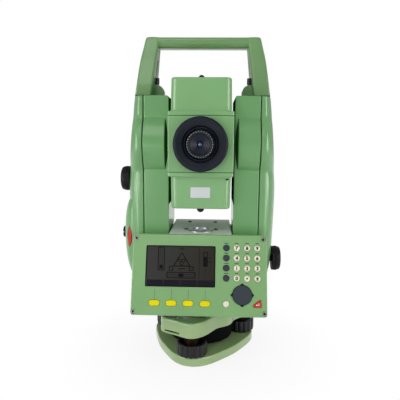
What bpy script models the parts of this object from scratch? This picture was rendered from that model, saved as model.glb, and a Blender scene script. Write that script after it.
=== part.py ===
"""Surveying total station on its tribrach, modelled as an assembly of named pieces.

Sizes below are millimetres and become metres where a mesh is made. The origin is on the
vertical axis at the underside of the tribrach, +Z is up, the keyboard faces -Y and +X is to
the right of a person at the keyboard.
"""
import math

import bmesh
import bpy
from mathutils import Matrix, Vector

MM = 0.001

# Clearances
GAP = 0.3
KEY_GAP = 0.3
WALL = 3.0
STEP = 0.2
CASE_EDGE = 1.5
PLATE_EDGE = 0.8
# How far a cutting tool reaches past the face it opens, and past every face in X
CUT_PAST = 5.0
FAR_X = 99.0
BORE_OVERLAP = 3.0
# Numbers of flat sides that stand for round forms
PIN_SIDES = 12
HOLE_SIDES = 14
BOSS_SIDES = 16
KNOB_SIDES = 18
BORE_SIDES = 20
FLANGE_SIDES = 22
RING_SIDES = 24
DRUM_SIDES = 28
BULGE_SIDES = 36

# Heights of the main planes
FLANGE_PLANE_Z = 46.0
ALIDADE_BOTTOM_Z = 58.0
DECK_Z = 140.0
DECK_TOP_Z = 145.0
DECK_HALF_X = 33.6
DECK_FRONT_Y = -50.0
DECK_BACK_Y = 36.0
DECK_LEVEL_R = 14.0
DECK_LEVEL_Y = -33.0
DECK_LEVEL_RIM = [(5.0, 5.2), (4.0, 6.4), (1.2, 6.4), (0.0, 5.6)]
TILT_AXIS_Z = 240.0
STANDARD_TOP_Z = 291.2

# Tribrach
TRIBRACH_TURN = math.radians(261.0)
FOOT_CIRCLE_R = 52.0
BASE_WAVE = (57.2, 7.4, 1.3)
# Height of each ring of the base plate and how far it lies inside the outline
BASE_RINGS = [(0.0, 5.0), (1.2, 4.6), (1.6, 0.9), (2.4, 0.0), (10.2, 0.0), (11.0, 0.9)]
BASE_FLOOR_RINGS = [(7.5, 4.2), (15.0, 1.4)]
BASE_FLOOR_Z = 7.5
BASE_STEPS = 30
BASE_PAD_R = 9.0
BASE_PAD_TOP_Z = 9.8
TRIPOD_HOLE_R = 8.0
TRIPOD_BOSS_R = 16.0
TRIPOD_BOSS_TOP_Z = 13.0
HOUSING_R = 34.4
HOUSING_EDGE = 1.5
HOUSING_BOTTOM_Z = 14.0
HOUSING_BORE_R = 12.0
BODY_WAVE = (49.7, 11.25, 4.54)
BODY_BOTTOM_Z = 33.0
# Height of each ring of the body and how far it lies inside the outline
BODY_RINGS = [(33.0, 0.8), (33.8, 0.0), (47.6, 0.0), (49.4, 0.9), (50.0, 2.4)]
BODY_STEPS = 30
RECESS_INSET = 6.2
RECESS_R = 39.6
BODY_BORE_R = 16.0
FOOT_KNOB_R = 16.5
FOOT_KNOB_FLUTE = 0.55
FOOT_KNOB_FLUTES = 12
FOOT_KNOB_BOTTOM_Z = 11.4
FOOT_KNOB_TOP_Z = 25.3
FOOT_DISH_R = 12.6
FOOT_EDGE = 0.9
SPINDLE_HEADROOM = 0.8
FOOT_DISH_DEPTH = 5.0
FOOT_SPINDLE_R = 5.0
FOOT_SPINDLE_TOP_Z = 41.5
STUD_CIRCLE_R = 29.0
STUD_R = 5.7
STUD_PLAY = 0.5
STUD_ROOT = 3.0
STUD_BOTTOM_Z = 38.5
# Arm from the front lobe to the round level: both centres of its rounded outline
ARM_START = (-9.4, -53.5)
LEVEL_PLACE = (-31.9, -41.4)
ARM_R = 11.5
ARM_RINGS = [(33.2, 0.8), (34.0, 0.0), (47.4, 0.0), (49.2, 0.9), (49.8, 2.4)]
ARM_STEPS = 6
ARM_RIM = 2.9
TRIBRACH_LEVEL_R = 8.0
TRIBRACH_LEVEL_BOTTOM_Z = 38.0
# Inset and height of each step of a round level, from the glass to the outer edge
TRIBRACH_LEVEL_RIM = [(2.6, 7.9), (2.0, 8.8), (0.6, 8.8), (0.0, 8.2)]
LOCK_AXIS_Z = 39.5
LOCK_INNER_R = 47.2
LOCK_OUTER_R = 53.5
LOCK_SHAFT_R = 4.0
LOCK_SHAFT_START = 37.0
LOCK_BOSS_R = 6.4
LOCK_BOSS_START = 34.0
LOCK_BOSS_GAP = 0.8
LOCK_EDGE = 1.2
# Half outline of the locking knob about its axis, from its pointer upwards
LOCK_BLADE = [(0.0, -17.0), (6.5, -12.5), (14.0, -1.0), (14.6, 2.5), (12.6, 5.4), (6.0, 7.6), (0.0, 8.2)]

# Vertical axis
FLANGE_R = 38.0
FLANGE_EDGE = 1.5
HUB_R = 28.4
HUB_TOP_Z = 92.5
SPINDLE_R = 13.0
SPINDLE_NECK_R = 10.0
SPINDLE_SHOULDER_Z = 111.5
SPINDLE_TOP_Z = 136.5
BASE_CAVITY_R = 29.0
BASE_CAVITY_TOP_Z = 98.2
SPINDLE_BORE_TOP_Z = 112.0
CIRCLE_R = 28.0
CIRCLE_THICK = 3.0

# Frame with the two standards
STANDARD_INNER_X = 35.3
STANDARD_OUTER_X = 62.7
STANDARD_HALF_Y = 34.0
STANDARD_CHAMFER = 1.8
AXIS_BULGE_R = 44.0
TRUNNION_R = 9.0
TRUNNION_START = 20.5
TRUNNION_LENGTH = 51.0
VERTICAL_CIRCLE_X = 65.0

# Side covers: half width of the silhouette at each height
COVER_INNER_X = 63.0
COVER_CORNER_Y = 24.0
COVER_STRIP = 4.0
COVER_WIDTHS = [
    (62.0, 66.2), (67.0, 68.6), (76.0, 72.0), (88.0, 75.6), (102.0, 78.4), (120.0, 80.4),
    (150.0, 81.6), (189.0, 82.4), (212.2, 81.0), (219.0, 80.4), (229.0, 79.5), (240.0, 78.7),
    (251.0, 78.0), (261.0, 77.5), (267.8, 77.1), (280.0, 76.1), (291.0, 74.8),
]
COVER_FOOT_Z = 72.0
COVER_FOOT_DRAFT = 0.3
COVER_CAVITY_START = 61.0
COVER_HOLE_X = 70.0
CAVITY_LEVELS = [70.0, 102.0, 150.0, 212.2, 224.0, 240.0, 256.0, 267.8, 287.0]

# Battery compartment on the left side
DOOR_HALF_Y = 28.0
DOOR_RIM_X = 70.0
DOOR_POWER = 2.6
DOOR_WIDTHS = [
    (93.0, 81.4), (97.0, 83.4), (104.0, 85.6), (114.0, 87.4), (127.0, 88.6), (140.0, 88.9),
    (153.0, 88.5), (165.0, 87.0), (173.0, 84.8), (177.0, 83.0),
]
DOOR_WALL = 2.5
DOOR_LIP = 1.4
DOOR_STEPS = 12
DOOR_MIDDLE_Z = 135.0
DOOR_HINGE = (-76.2, 28.6)
BATTERY_LOW = (-79.0, -18.0, 103.0)
BATTERY_HIGH = (-63.4, 18.0, 167.0)
LATCH_CENTRE = (-79.9, -24.4, 136.5)
LATCH_TURN = math.radians(42.0)
LATCH_LENGTH = 21.0
LATCH_WIDTH = 5.4
LATCH_DEPTH = (-2.6, 1.4)
LATCH_SLOT = (-4.0, 5.0)
DOOR_KNOB_X = -89.0
DOOR_KNOB_Z = 136.0
DOOR_KNOB_R = 6.6
DOOR_KNOB_TIP = 3.3
DOOR_PIN_R = 2.4
DOOR_PIN_LENGTH = 4.4
DOOR_PIN_HOLE_R = 2.8

# Keyboard
PANEL_TOP = (0.0, -61.7, 146.0)
PANEL_TILT = math.radians(18.5)
PANEL_WIDTH = 139.0
PANEL_HEIGHT = 81.2
PANEL_THICK = 3.0
PANEL_CORNER = 4.0
POCKET_DEPTH = 12.0
POCKET_HALF_X = 66.0
POCKET_V = (6.0, 77.0)
HOUSING_FOOT_Z = 62.5
HOUSING_FOOT_Y = -72.5
HOUSING_LEDGE = 1.2
HOUSING_TOP_Z = 146.0
HOUSING_BACK_Z = 140.6
NOTCH_HALF_X = 35.3
NOTCH_Y = (-50.4, -20.0)
DISPLAY_LEFT = -54.9
DISPLAY_RIGHT = 16.6
DISPLAY_TOP = 11.3
DISPLAY_CORNER_R = 1.5
DISPLAY_BOTTOM = 53.7
DISPLAY_SINK = 0.8
KEY_R = 3.2
KEY_RISE = 1.0
KEY_ROOT = 6.0
KEY_EDGE = 0.45
DIGIT_COLUMNS = [38.4, 49.0, 59.5]
FIXED_COLUMN = 27.7
KEY_ROWS = [13.1, 23.4, 33.7, 44.0]
FUNCTION_COLUMNS = [-45.4, -28.1, -10.9, 6.4]
FUNCTION_ROW = 69.9
FUNCTION_SIZE = (10.8, 5.9)
ESCAPE_PLACE = (27.8, 69.8)
ENTER_PLACE = (59.4, 69.3)
ENTER_LENGTH = 8.4
ENTER_WIDTH = 6.4
ENTER_LEAN = math.radians(35.0)
PAD_PLACE = (44.1, 60.7)
PAD_R = 10.0
PAD_TIP_R = 11.8
PAD_RISE = 1.5
PAD_TIP_REACH = math.radians(16.0)

# Carrying handle legs: height, inner x, outer x, half depth
HANDLE_LEG = [
    (291.6, 55.8, 73.5, 24.6), (304.0, 54.4, 71.7, 23.8), (317.0, 52.9, 70.1, 21.2),
    (331.0, 51.2, 68.2, 17.0), (343.0, 49.7, 65.8, 13.0), (351.5, 48.7, 64.0, 10.8),
    (355.2, 49.0, 62.9, 9.9), (356.4, 50.2, 61.4, 8.8),
]
HANDLE_CORNER_R = 2.6
# Carrying handle grip: x, centre z, half height, half depth
HANDLE_GRIP = [
    (53.0, 350.3, 5.9, 9.6), (44.0, 350.3, 5.9, 9.8), (30.0, 350.3, 5.9, 10.0), (0.0, 350.3, 5.9, 10.1),
]
GRIP_POWER = 4.0
GRIP_STEPS = 16
HANDLE_BOSS = [(60.0, 292.0), (43.8, 293.0), (43.8, 298.6), (46.2, 303.2), (50.5, 305.4), (60.0, 305.4)]
HANDLE_BOSS_HALF_Y = 7.0
HANDLE_SCREW_X = 52.1
HANDLE_SCREW_R = 2.6
HANDLE_SCREW_Z = (306.2, 313.6)
HANDLE_GROOVE_TOP_Z = 333.0
HANDLE_SCREW_PLAY = 0.8
HANDLE_SCREW_EDGE = 0.6
HANDLE_SHANK_R = 1.8
HANDLE_SHANK_BOTTOM_Z = 282.0

# Telescope
SCOPE_HALF_X = 33.6
SCOPE_SIDE_X = 40.0
SCOPE_EDGE = 1.2
SCOPE_FRONT_Y = -64.0
SCOPE_BACK_Y = 58.0
SCOPE_HALF_Z = 28.5
OPTICAL_BORE_R = 15.0
COVER_RINGS = [
    (28.8, 33.6, -64.0, 58.0, 2.0), (32.5, 33.6, -64.0, 58.0, 2.0), (33.1, 33.1, -63.5, 57.5, 2.0),
    (33.6, 31.6, -58.6, 54.0, 5.0), (64.6, 30.9, -57.8, 52.0, 5.0), (65.8, 30.4, -57.3, 51.5, 4.5),
    (66.2, 29.4, -56.3, 50.5, 3.5),
]
SIGHT_R = 3.2
SIGHT_OFFSET_Z = 67.5
SIGHT_Y = (-54.0, -8.0)
BARREL_R = 25.0
BARREL_BORE_R = 17.0
BARREL_END_Y = 87.5
LENS_R = 20.2
LENS_SEAT = 9.5
LENS_PROFILE = [
    (0.0, 5.2), (8.0, 4.8), (14.0, 3.9), (LENS_R, 2.2), (LENS_R, 0.6), (14.0, 0.2), (0.0, 0.0),
]
FOCUS_RING_R = 27.4
FOCUS_RING_Y = (-64.3, -75.0)
FOCUS_EDGE = 1.6
FOCUS_BORE_R = 14.6
FOCUS_DISH = 2.4
FOCUS_DISH_R = 17.0
FOCUS_FACE_R = 23.5
EYEPIECE_R = 13.6
EYEPIECE_Y = (-64.3, -90.0)
# Cup of the eyepiece: radius and depth below its rim
EYE_CUP = [(0.0, 6.0), (4.0, 6.0), (5.0, 3.0), (10.2, 0.8), (11.2, 0.0)]

# Drive knobs
VERTICAL_KNOB = (0.0, 199.4)
VERTICAL_KNOB_X = (-82.9, -93.8)
VERTICAL_KNOB_R = 14.2
HORIZONTAL_KNOB = (-10.0, 109.4)
HORIZONTAL_KNOB_X = (81.1, 91.4)
HORIZONTAL_KNOB_R = 14.1
DRIVE_SHAFT_R = 4.0
DRIVE_SHAFT_X = 53.0
DRIVE_HOLE_X = 52.0
DRIVE_PLAY = 0.6
# Domed end of a drive knob: share of its radius and drop below its tip
DRIVE_DOME = [(0.0, 0.0), (0.45, 0.5), (0.74, 2.0), (0.92, 4.4), (1.0, 7.4)]

for old in list(bpy.data.objects):
    bpy.data.objects.remove(old, do_unlink=True)

scene = bpy.context.scene
pieces = bpy.data.collections.new("pieces")
tools = bpy.data.collections.new("tools")
scene.collection.children.link(pieces)
scene.collection.children.link(tools)


# Materials
def material(name, colour, metallic, roughness):
    """Make a plain Principled material."""
    made = bpy.data.materials.new(name)
    made.use_nodes = True
    shader = made.node_tree.nodes["Principled BSDF"]
    shader.inputs["Base Color"].default_value = (*colour, 1.0)
    shader.inputs["Metallic"].default_value = metallic
    shader.inputs["Roughness"].default_value = roughness
    return made


GREEN = material("instrument_green", (0.20, 0.40, 0.17), 0.0, 0.45)
SAGE = material("tribrach_green", (0.36, 0.46, 0.22), 0.0, 0.45)
BLACK = material("black_plastic", (0.02, 0.02, 0.02), 0.0, 0.5)
STEEL = material("axis_steel", (0.55, 0.55, 0.56), 1.0, 0.3)
GREY = material("deck_grey", (0.45, 0.46, 0.47), 1.0, 0.4)
GLASS = material("optical_glass", (0.6, 0.7, 0.8), 0.0, 0.05)
SCREEN = material("display_screen", (0.10, 0.09, 0.08), 0.0, 0.2)
CREAM = material("cream_rubber", (0.80, 0.77, 0.65), 0.0, 0.6)
SLATE = material("slate_rubber", (0.07, 0.08, 0.11), 0.0, 0.6)
YELLOW = material("yellow_rubber", (0.85, 0.62, 0.08), 0.0, 0.6)
RED = material("red_plastic", (0.62, 0.05, 0.05), 0.0, 0.5)
BATTERY_CASE = material("battery_case", (0.12, 0.12, 0.13), 0.0, 0.5)


# Outlines
def circle(radius, count, centre=(0.0, 0.0), start=0.0):
    """Points of a circle, counter-clockwise."""
    turns = [start + 2.0 * math.pi * i / count for i in range(count)]
    return [(centre[0] + radius * math.cos(t), centre[1] + radius * math.sin(t)) for t in turns]


def lobed(wave, count, steps, phase, inset=0.0):
    """A round outline with equal lobes, one of them at the phase angle: mean, first and second wave."""
    points = []
    for i in range(steps):
        turn = 2.0 * math.pi * i / steps
        radius = sum(size * math.cos(k * count * turn) for k, size in enumerate(wave)) - inset
        points.append((radius * math.cos(turn + phase), radius * math.sin(turn + phase)))
    return points


def rounded_box(half_x, low_y, high_y, radius, steps):
    """A rectangle about x = 0 with round corners, counter-clockwise."""
    points = []
    corners = [
        (half_x - radius, low_y + radius, -90.0), (half_x - radius, high_y - radius, 0.0),
        (radius - half_x, high_y - radius, 90.0), (radius - half_x, low_y + radius, 180.0),
    ]
    for x, y, start in corners:
        for i in range(steps + 1):
            turn = math.radians(start + 90.0 * i / steps)
            points.append((x + radius * math.cos(turn), y + radius * math.sin(turn)))
    return points


def two_circle_hull(first, second, radius, steps):
    """The outline of two equal circles and the band between them."""
    across = Vector(second) - Vector(first)
    lean = math.atan2(across.y, across.x)
    points = []
    for centre, start in ((second, lean - math.pi / 2.0), (first, lean + math.pi / 2.0)):
        for i in range(steps + 1):
            turn = start + math.pi * i / steps
            points.append((centre[0] + radius * math.cos(turn), centre[1] + radius * math.sin(turn)))
    return points


def leaf(length, width, steps):
    """Two equal arcs that meet in points on the x axis."""
    bow = width / 2.0
    radius = (bow * bow + length * length / 4.0) / (2.0 * bow)
    half = math.asin(length / 2.0 / radius)
    drop = radius - bow
    points = []
    for side in (1.0, -1.0):
        for i in range(steps):
            turn = half - 2.0 * half * i / steps
            points.append((side * radius * math.sin(turn), side * (radius * math.cos(turn) - drop)))
    return points[::-1]


def pointed_round(radius, tip, steps):
    """A circle with a small point at each quarter turn."""
    reach = PAD_TIP_REACH
    points = []
    for quarter in range(4):
        middle = quarter * math.pi / 2.0
        points.append((tip * math.cos(middle), tip * math.sin(middle)))
        for i in range(steps + 1):
            turn = middle + reach + (math.pi / 2.0 - 2.0 * reach) * i / steps
            points.append((radius * math.cos(turn), radius * math.sin(turn)))
    return points


def width_at(table, height):
    """Read a table of heights and half widths."""
    for (low, first), (high, second) in zip(table, table[1:]):
        if height <= high:
            return first + (second - first) * (height - low) / (high - low)
    return table[-1][1]


# Solids
def to_world(axis, u, v, along):
    """Put outline coordinates and a distance along an axis into x, y, z."""
    if axis == "X":
        return (along, u, v)
    if axis == "Y":
        return (u, along, v)
    return (u, v, along)


def add_loft(bm, rings):
    """Skin a row of equal rings and close both ends."""
    rows = [[bm.verts.new(Vector(point) * MM) for point in ring] for ring in rings]
    count = len(rows[0])
    for low, high in zip(rows, rows[1:]):
        for i in range(count):
            bm.faces.new((low[i], low[(i + 1) % count], high[(i + 1) % count], high[i]))
    bm.faces.new(rows[0][::-1])
    bm.faces.new(rows[-1])


def add_prism(bm, outline, axis, low, high):
    """Extrude an outline along an axis."""
    face = bm.faces.new([bm.verts.new(Vector(to_world(axis, u, v, low)) * MM) for u, v in outline])
    grown = bmesh.ops.extrude_face_region(bm, geom=[face])
    moved = [item for item in grown["geom"] if isinstance(item, bmesh.types.BMVert)]
    step = Vector(to_world(axis, 0.0, 0.0, high - low)) * MM
    bmesh.ops.translate(bm, verts=moved, vec=step)


def add_cylinder(bm, radius, axis, centre, low, high, count=24):
    """Extrude a circle along an axis."""
    add_prism(bm, circle(radius, count, centre), axis, low, high)


def add_box(bm, low, high):
    """Add a box between two corners."""
    outline = [(low[0], low[1]), (high[0], low[1]), (high[0], high[1]), (low[0], high[1])]
    add_prism(bm, outline, "Z", low[2], high[2])


def to_object(name, bm, collection):
    """Turn a bmesh into a linked object with its faces outward."""
    bmesh.ops.recalc_face_normals(bm, faces=bm.faces)
    mesh = bpy.data.meshes.new(name)
    bm.to_mesh(mesh)
    bm.free()
    made = bpy.data.objects.new(name, mesh)
    collection.objects.link(made)
    return made


def piece(name, bm, skin, origin=(0.0, 0.0, 0.0), bevel=0.0, segments=2):
    """Make a named piece with its origin on its own joint axis."""
    made = to_object(name, bm, pieces)
    shift = Vector(origin) * MM
    made.data.transform(Matrix.Translation(-shift))
    made.location = shift
    made.data.materials.append(skin)
    if bevel > 0.0:
        soften(made, bevel, segments)
    return made


def soften(target, width, segments=2, angle=40.0):
    """Round the sharp edges."""
    rounding = target.modifiers.new("rounded_edges", "BEVEL")
    rounding.width = width * MM
    rounding.segments = segments
    rounding.limit_method = "ANGLE"
    rounding.angle_limit = math.radians(angle)


def tool(name, bm):
    """Make a hidden solid that shapes a piece."""
    made = to_object(name, bm, tools)
    made.hide_render = True
    made.display_type = "WIRE"
    return made


def shape(target, other, operation):
    """Cut, join or trim a piece with a tool."""
    step = target.modifiers.new(other.name, "BOOLEAN")
    step.operation = operation
    step.solver = "EXACT"
    step.object = other


def cut(target, name, bm):
    """Take a tool away from a piece."""
    shape(target, tool(name, bm), "DIFFERENCE")


def fuse(target, name, bm):
    """Add a tool to a piece."""
    shape(target, tool(name, bm), "UNION")


def turned(name, profile, skin, base, axis, steps=32, collection=None):
    """Turn a profile of radius and height, listed from top to bottom outside, about an axis."""
    bm = bmesh.new()
    verts = [bm.verts.new((radius * MM, 0.0, height * MM)) for radius, height in profile]
    for first, second in zip(verts, verts[1:]):
        bm.edges.new((first, second))
    if profile[0][0] > 0.0:
        bm.edges.new((verts[-1], verts[0]))
    mesh = bpy.data.meshes.new(name)
    bm.to_mesh(mesh)
    bm.free()
    made = bpy.data.objects.new(name, mesh)
    (collection or pieces).objects.link(made)
    spin = made.modifiers.new("turning", "SCREW")
    spin.axis = "Z"
    spin.angle = 2.0 * math.pi
    spin.steps = steps
    spin.render_steps = steps
    spin.use_merge_vertices = True
    spin.merge_threshold = 0.00001
    spin.use_smooth_shade = True
    made.location = Vector(base) * MM
    made.rotation_mode = "QUATERNION"
    made.rotation_quaternion = Vector((0.0, 0.0, 1.0)).rotation_difference(Vector(axis))
    if skin:
        made.data.materials.append(skin)
    return made


# Tribrach
def polar(radius, turn):
    """A point of the plan from its radius and angle."""
    return (radius * math.cos(turn), radius * math.sin(turn))


FOOT_TURNS = [TRIBRACH_TURN + 2.0 * math.pi * i / 3.0 for i in range(3)]
FOOT_PLACES = [polar(FOOT_CIRCLE_R, turn) for turn in FOOT_TURNS]
STUD_PLACES = [polar(STUD_CIRCLE_R, turn + math.pi / 3.0) for turn in FOOT_TURNS]
LOCK_TURN = FOOT_TURNS[1] + math.pi / 3.0


def lobed_rings(wave, levels, steps):
    """Level rings of a three-lobed form: a height and an inset for each."""
    rings = []
    for z, inset in levels:
        rings.append([(x, y, z) for x, y in lobed(wave, 3, steps, TRIBRACH_TURN, inset)])
    return rings


def make_base_plate():
    """Dished three-cornered foot plate with pads for the screws and the tripod hole."""
    bm = bmesh.new()
    add_loft(bm, lobed_rings(BASE_WAVE, BASE_RINGS, BASE_STEPS))
    plate = piece("tribrach_base_plate", bm, SAGE)
    bm = bmesh.new()
    add_loft(bm, lobed_rings(BASE_WAVE, BASE_FLOOR_RINGS, BASE_STEPS))
    cut(plate, "base_floor", bm)
    bm = bmesh.new()
    for place in FOOT_PLACES:
        add_cylinder(bm, BASE_PAD_R, "Z", place, BASE_FLOOR_Z - WALL, BASE_PAD_TOP_Z, KNOB_SIDES)
    add_cylinder(bm, TRIPOD_BOSS_R, "Z", (0.0, 0.0), BASE_FLOOR_Z - WALL, TRIPOD_BOSS_TOP_Z)
    fuse(plate, "base_pads", bm)
    bm = bmesh.new()
    add_cylinder(bm, TRIPOD_HOLE_R, "Z", (0.0, 0.0), -CUT_PAST, TRIPOD_BOSS_TOP_Z + CUT_PAST, BORE_SIDES)
    cut(plate, "tripod_hole", bm)


def make_centre_housing():
    """Round housing that hangs below the tribrach body."""
    top = BODY_BOTTOM_Z - GAP
    low = HOUSING_BOTTOM_Z
    profile = [
        (HOUSING_R, top), (HOUSING_R, low + HOUSING_EDGE), (HOUSING_R - HOUSING_EDGE, low),
        (HOUSING_BORE_R, low), (HOUSING_BORE_R, top),
    ]
    turned("tribrach_centre_housing", profile, BLACK, (0.0, 0.0, 0.0), (0.0, 0.0, 1.0), DRUM_SIDES)


def make_tribrach_body():
    """Upper body with a lobe over each foot screw and one for the level."""
    bm = bmesh.new()
    add_loft(bm, lobed_rings(BODY_WAVE, BODY_RINGS, BODY_STEPS))
    body = piece("tribrach_body", bm, SAGE)
    bm = bmesh.new()
    rings = []
    for z, inset in ARM_RINGS:
        outline = two_circle_hull(ARM_START, LEVEL_PLACE, ARM_R - inset, ARM_STEPS)
        rings.append([(x, y, z) for x, y in outline])
    add_loft(bm, rings)
    fuse(body, "level_arm", bm)
    high = BODY_RINGS[-1][0] + CUT_PAST
    bm = bmesh.new()
    recess = lobed(BODY_WAVE, 3, BODY_STEPS, TRIBRACH_TURN, RECESS_INSET)
    add_prism(bm, recess, "Z", FLANGE_PLANE_Z, high)
    cut(body, "lobe_recess", bm)
    bm = bmesh.new()
    recess = two_circle_hull(ARM_START, LEVEL_PLACE, ARM_R - ARM_RIM, ARM_STEPS)
    add_prism(bm, recess, "Z", FLANGE_PLANE_Z, high)
    cut(body, "arm_recess", bm)
    bm = bmesh.new()
    add_cylinder(bm, RECESS_R, "Z", (0.0, 0.0), FLANGE_PLANE_Z, high, RING_SIDES)
    cut(body, "flange_recess", bm)
    bm = bmesh.new()
    boss = circle(LOCK_BOSS_R, BOSS_SIDES, (0.0, LOCK_AXIS_Z))
    add_prism(bm, boss, "X", LOCK_BOSS_START, LOCK_INNER_R - LOCK_BOSS_GAP)
    bmesh.ops.rotate(bm, verts=bm.verts, matrix=Matrix.Rotation(LOCK_TURN, 3, "Z"))
    fuse(body, "lock_boss", bm)
    bm = bmesh.new()
    add_cylinder(
        bm, BODY_BORE_R, "Z", (0.0, 0.0), BODY_BOTTOM_Z - CUT_PAST, FLANGE_PLANE_Z + CUT_PAST,
        BORE_SIDES,
    )
    for place in STUD_PLACES:
        add_cylinder(
            bm, STUD_R + STUD_PLAY, "Z", place, STUD_BOTTOM_Z - 1.0, FLANGE_PLANE_Z + CUT_PAST,
            HOLE_SIDES,
        )
    for place in FOOT_PLACES:
        add_cylinder(
            bm, FOOT_SPINDLE_R + GAP, "Z", place, BODY_BOTTOM_Z - CUT_PAST,
            FOOT_SPINDLE_TOP_Z + SPINDLE_HEADROOM, HOLE_SIDES,
        )
    low = TRIBRACH_LEVEL_BOTTOM_Z - GAP
    add_cylinder(
        bm, TRIBRACH_LEVEL_R + GAP, "Z", LEVEL_PLACE, low, FLANGE_PLANE_Z + CUT_PAST, KNOB_SIDES,
    )
    cut(body, "body_bores", bm)
    bm = bmesh.new()
    start = LOCK_SHAFT_START - 2.0 * GAP
    add_cylinder(
        bm, LOCK_SHAFT_R + GAP, "X", (0.0, LOCK_AXIS_Z), start, LOCK_INNER_R + CUT_PAST, HOLE_SIDES,
    )
    bmesh.ops.rotate(bm, verts=bm.verts, matrix=Matrix.Rotation(LOCK_TURN, 3, "Z"))
    cut(body, "lock_bore", bm)


def make_foot_screw(name, place):
    """Knob with flutes, a dished top and the spindle that carries the body."""
    bm = bmesh.new()
    outline = lobed((FOOT_KNOB_R, FOOT_KNOB_FLUTE), FOOT_KNOB_FLUTES, 24, 0.0)
    outline = [(place[0] + x, place[1] + y) for x, y in outline]
    add_prism(bm, outline, "Z", FOOT_KNOB_BOTTOM_Z, FOOT_KNOB_TOP_Z)
    screw = piece(name, bm, BLACK, (*place, FOOT_KNOB_BOTTOM_Z), bevel=FOOT_EDGE, segments=1)
    bm = bmesh.new()
    add_cylinder(
        bm, FOOT_DISH_R, "Z", place, FOOT_KNOB_TOP_Z - FOOT_DISH_DEPTH,
        FOOT_KNOB_TOP_Z + CUT_PAST, BORE_SIDES,
    )
    cut(screw, name + "_dish", bm)
    bm = bmesh.new()
    add_cylinder(bm, FOOT_SPINDLE_R, "Z", place, BASE_PAD_TOP_Z + GAP, FOOT_SPINDLE_TOP_Z, PIN_SIDES)
    fuse(screw, name + "_spindle", bm)


def make_lock_knob():
    """Flat pointed knob that locks the instrument in the tribrach."""
    outline = LOCK_BLADE + [(-x, z) for x, z in LOCK_BLADE[-2:0:-1]]
    bm = bmesh.new()
    add_prism(bm, [(y, z + LOCK_AXIS_Z) for y, z in outline], "X", LOCK_INNER_R, LOCK_OUTER_R)
    bmesh.ops.rotate(bm, verts=bm.verts, matrix=Matrix.Rotation(LOCK_TURN, 3, "Z"))
    spot = polar(LOCK_INNER_R, LOCK_TURN)
    knob = piece("tribrach_lock_knob", bm, BLACK, (*spot, LOCK_AXIS_Z), bevel=LOCK_EDGE, segments=1)
    bm = bmesh.new()
    add_cylinder(
        bm, LOCK_SHAFT_R, "X", (0.0, LOCK_AXIS_Z), LOCK_SHAFT_START, LOCK_INNER_R + 2.0, PIN_SIDES,
    )
    bmesh.ops.rotate(bm, verts=bm.verts, matrix=Matrix.Rotation(LOCK_TURN, 3, "Z"))
    fuse(knob, "lock_shaft", bm)


def make_tribrach_level():
    """Round level set in the lobe of the tribrach body."""
    r = TRIBRACH_LEVEL_R
    profile = [(r - inset, z) for inset, z in TRIBRACH_LEVEL_RIM]
    profile = [(0.0, profile[0][1])] + profile + [(r, 0.0), (0.0, 0.0)]
    base = (*LEVEL_PLACE, TRIBRACH_LEVEL_BOTTOM_Z)
    turned("tribrach_level", profile, STEEL, base, (0.0, 0.0, 1.0), KNOB_SIDES)


def make_flange():
    """Flange with three studs and the spindle of the vertical axis in one piece."""
    low = FLANGE_PLANE_Z + GAP
    profile = [
        (0.0, SPINDLE_TOP_Z), (SPINDLE_NECK_R - 1.0, SPINDLE_TOP_Z), (SPINDLE_NECK_R, SPINDLE_TOP_Z - 1.0),
        (SPINDLE_NECK_R, SPINDLE_SHOULDER_Z), (SPINDLE_R, SPINDLE_SHOULDER_Z),
        (SPINDLE_R, HUB_TOP_Z), (HUB_R, HUB_TOP_Z), (HUB_R, ALIDADE_BOTTOM_Z - GAP),
        (FLANGE_R - FLANGE_EDGE, ALIDADE_BOTTOM_Z - GAP),
        (FLANGE_R, ALIDADE_BOTTOM_Z - GAP - FLANGE_EDGE), (FLANGE_R, low), (0.0, low),
    ]
    flange = turned("centring_flange", profile, STEEL, (0.0, 0.0, 0.0), (0.0, 0.0, 1.0), FLANGE_SIDES)
    bm = bmesh.new()
    for place in STUD_PLACES:
        add_cylinder(bm, STUD_R, "Z", place, STUD_BOTTOM_Z, low + STUD_ROOT, PIN_SIDES)
    fuse(flange, "flange_studs", bm)


def make_circle(name, base, axis, inner):
    """Glass circle with a hole for its axis."""
    t = CIRCLE_THICK
    profile = [(CIRCLE_R, t), (CIRCLE_R, 0.0), (inner + GAP, 0.0), (inner + GAP, t)]
    turned(name, profile, GLASS, base, axis, BORE_SIDES)


make_base_plate()
make_centre_housing()
make_tribrach_body()
for label, spot in zip(("front", "right", "left"), FOOT_PLACES):
    make_foot_screw("foot_screw_" + label, spot)
make_lock_knob()
make_tribrach_level()
make_flange()
make_circle("horizontal_circle", (0.0, 0.0, HUB_TOP_Z + GAP), (0.0, 0.0, 1.0), SPINDLE_R)


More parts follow.
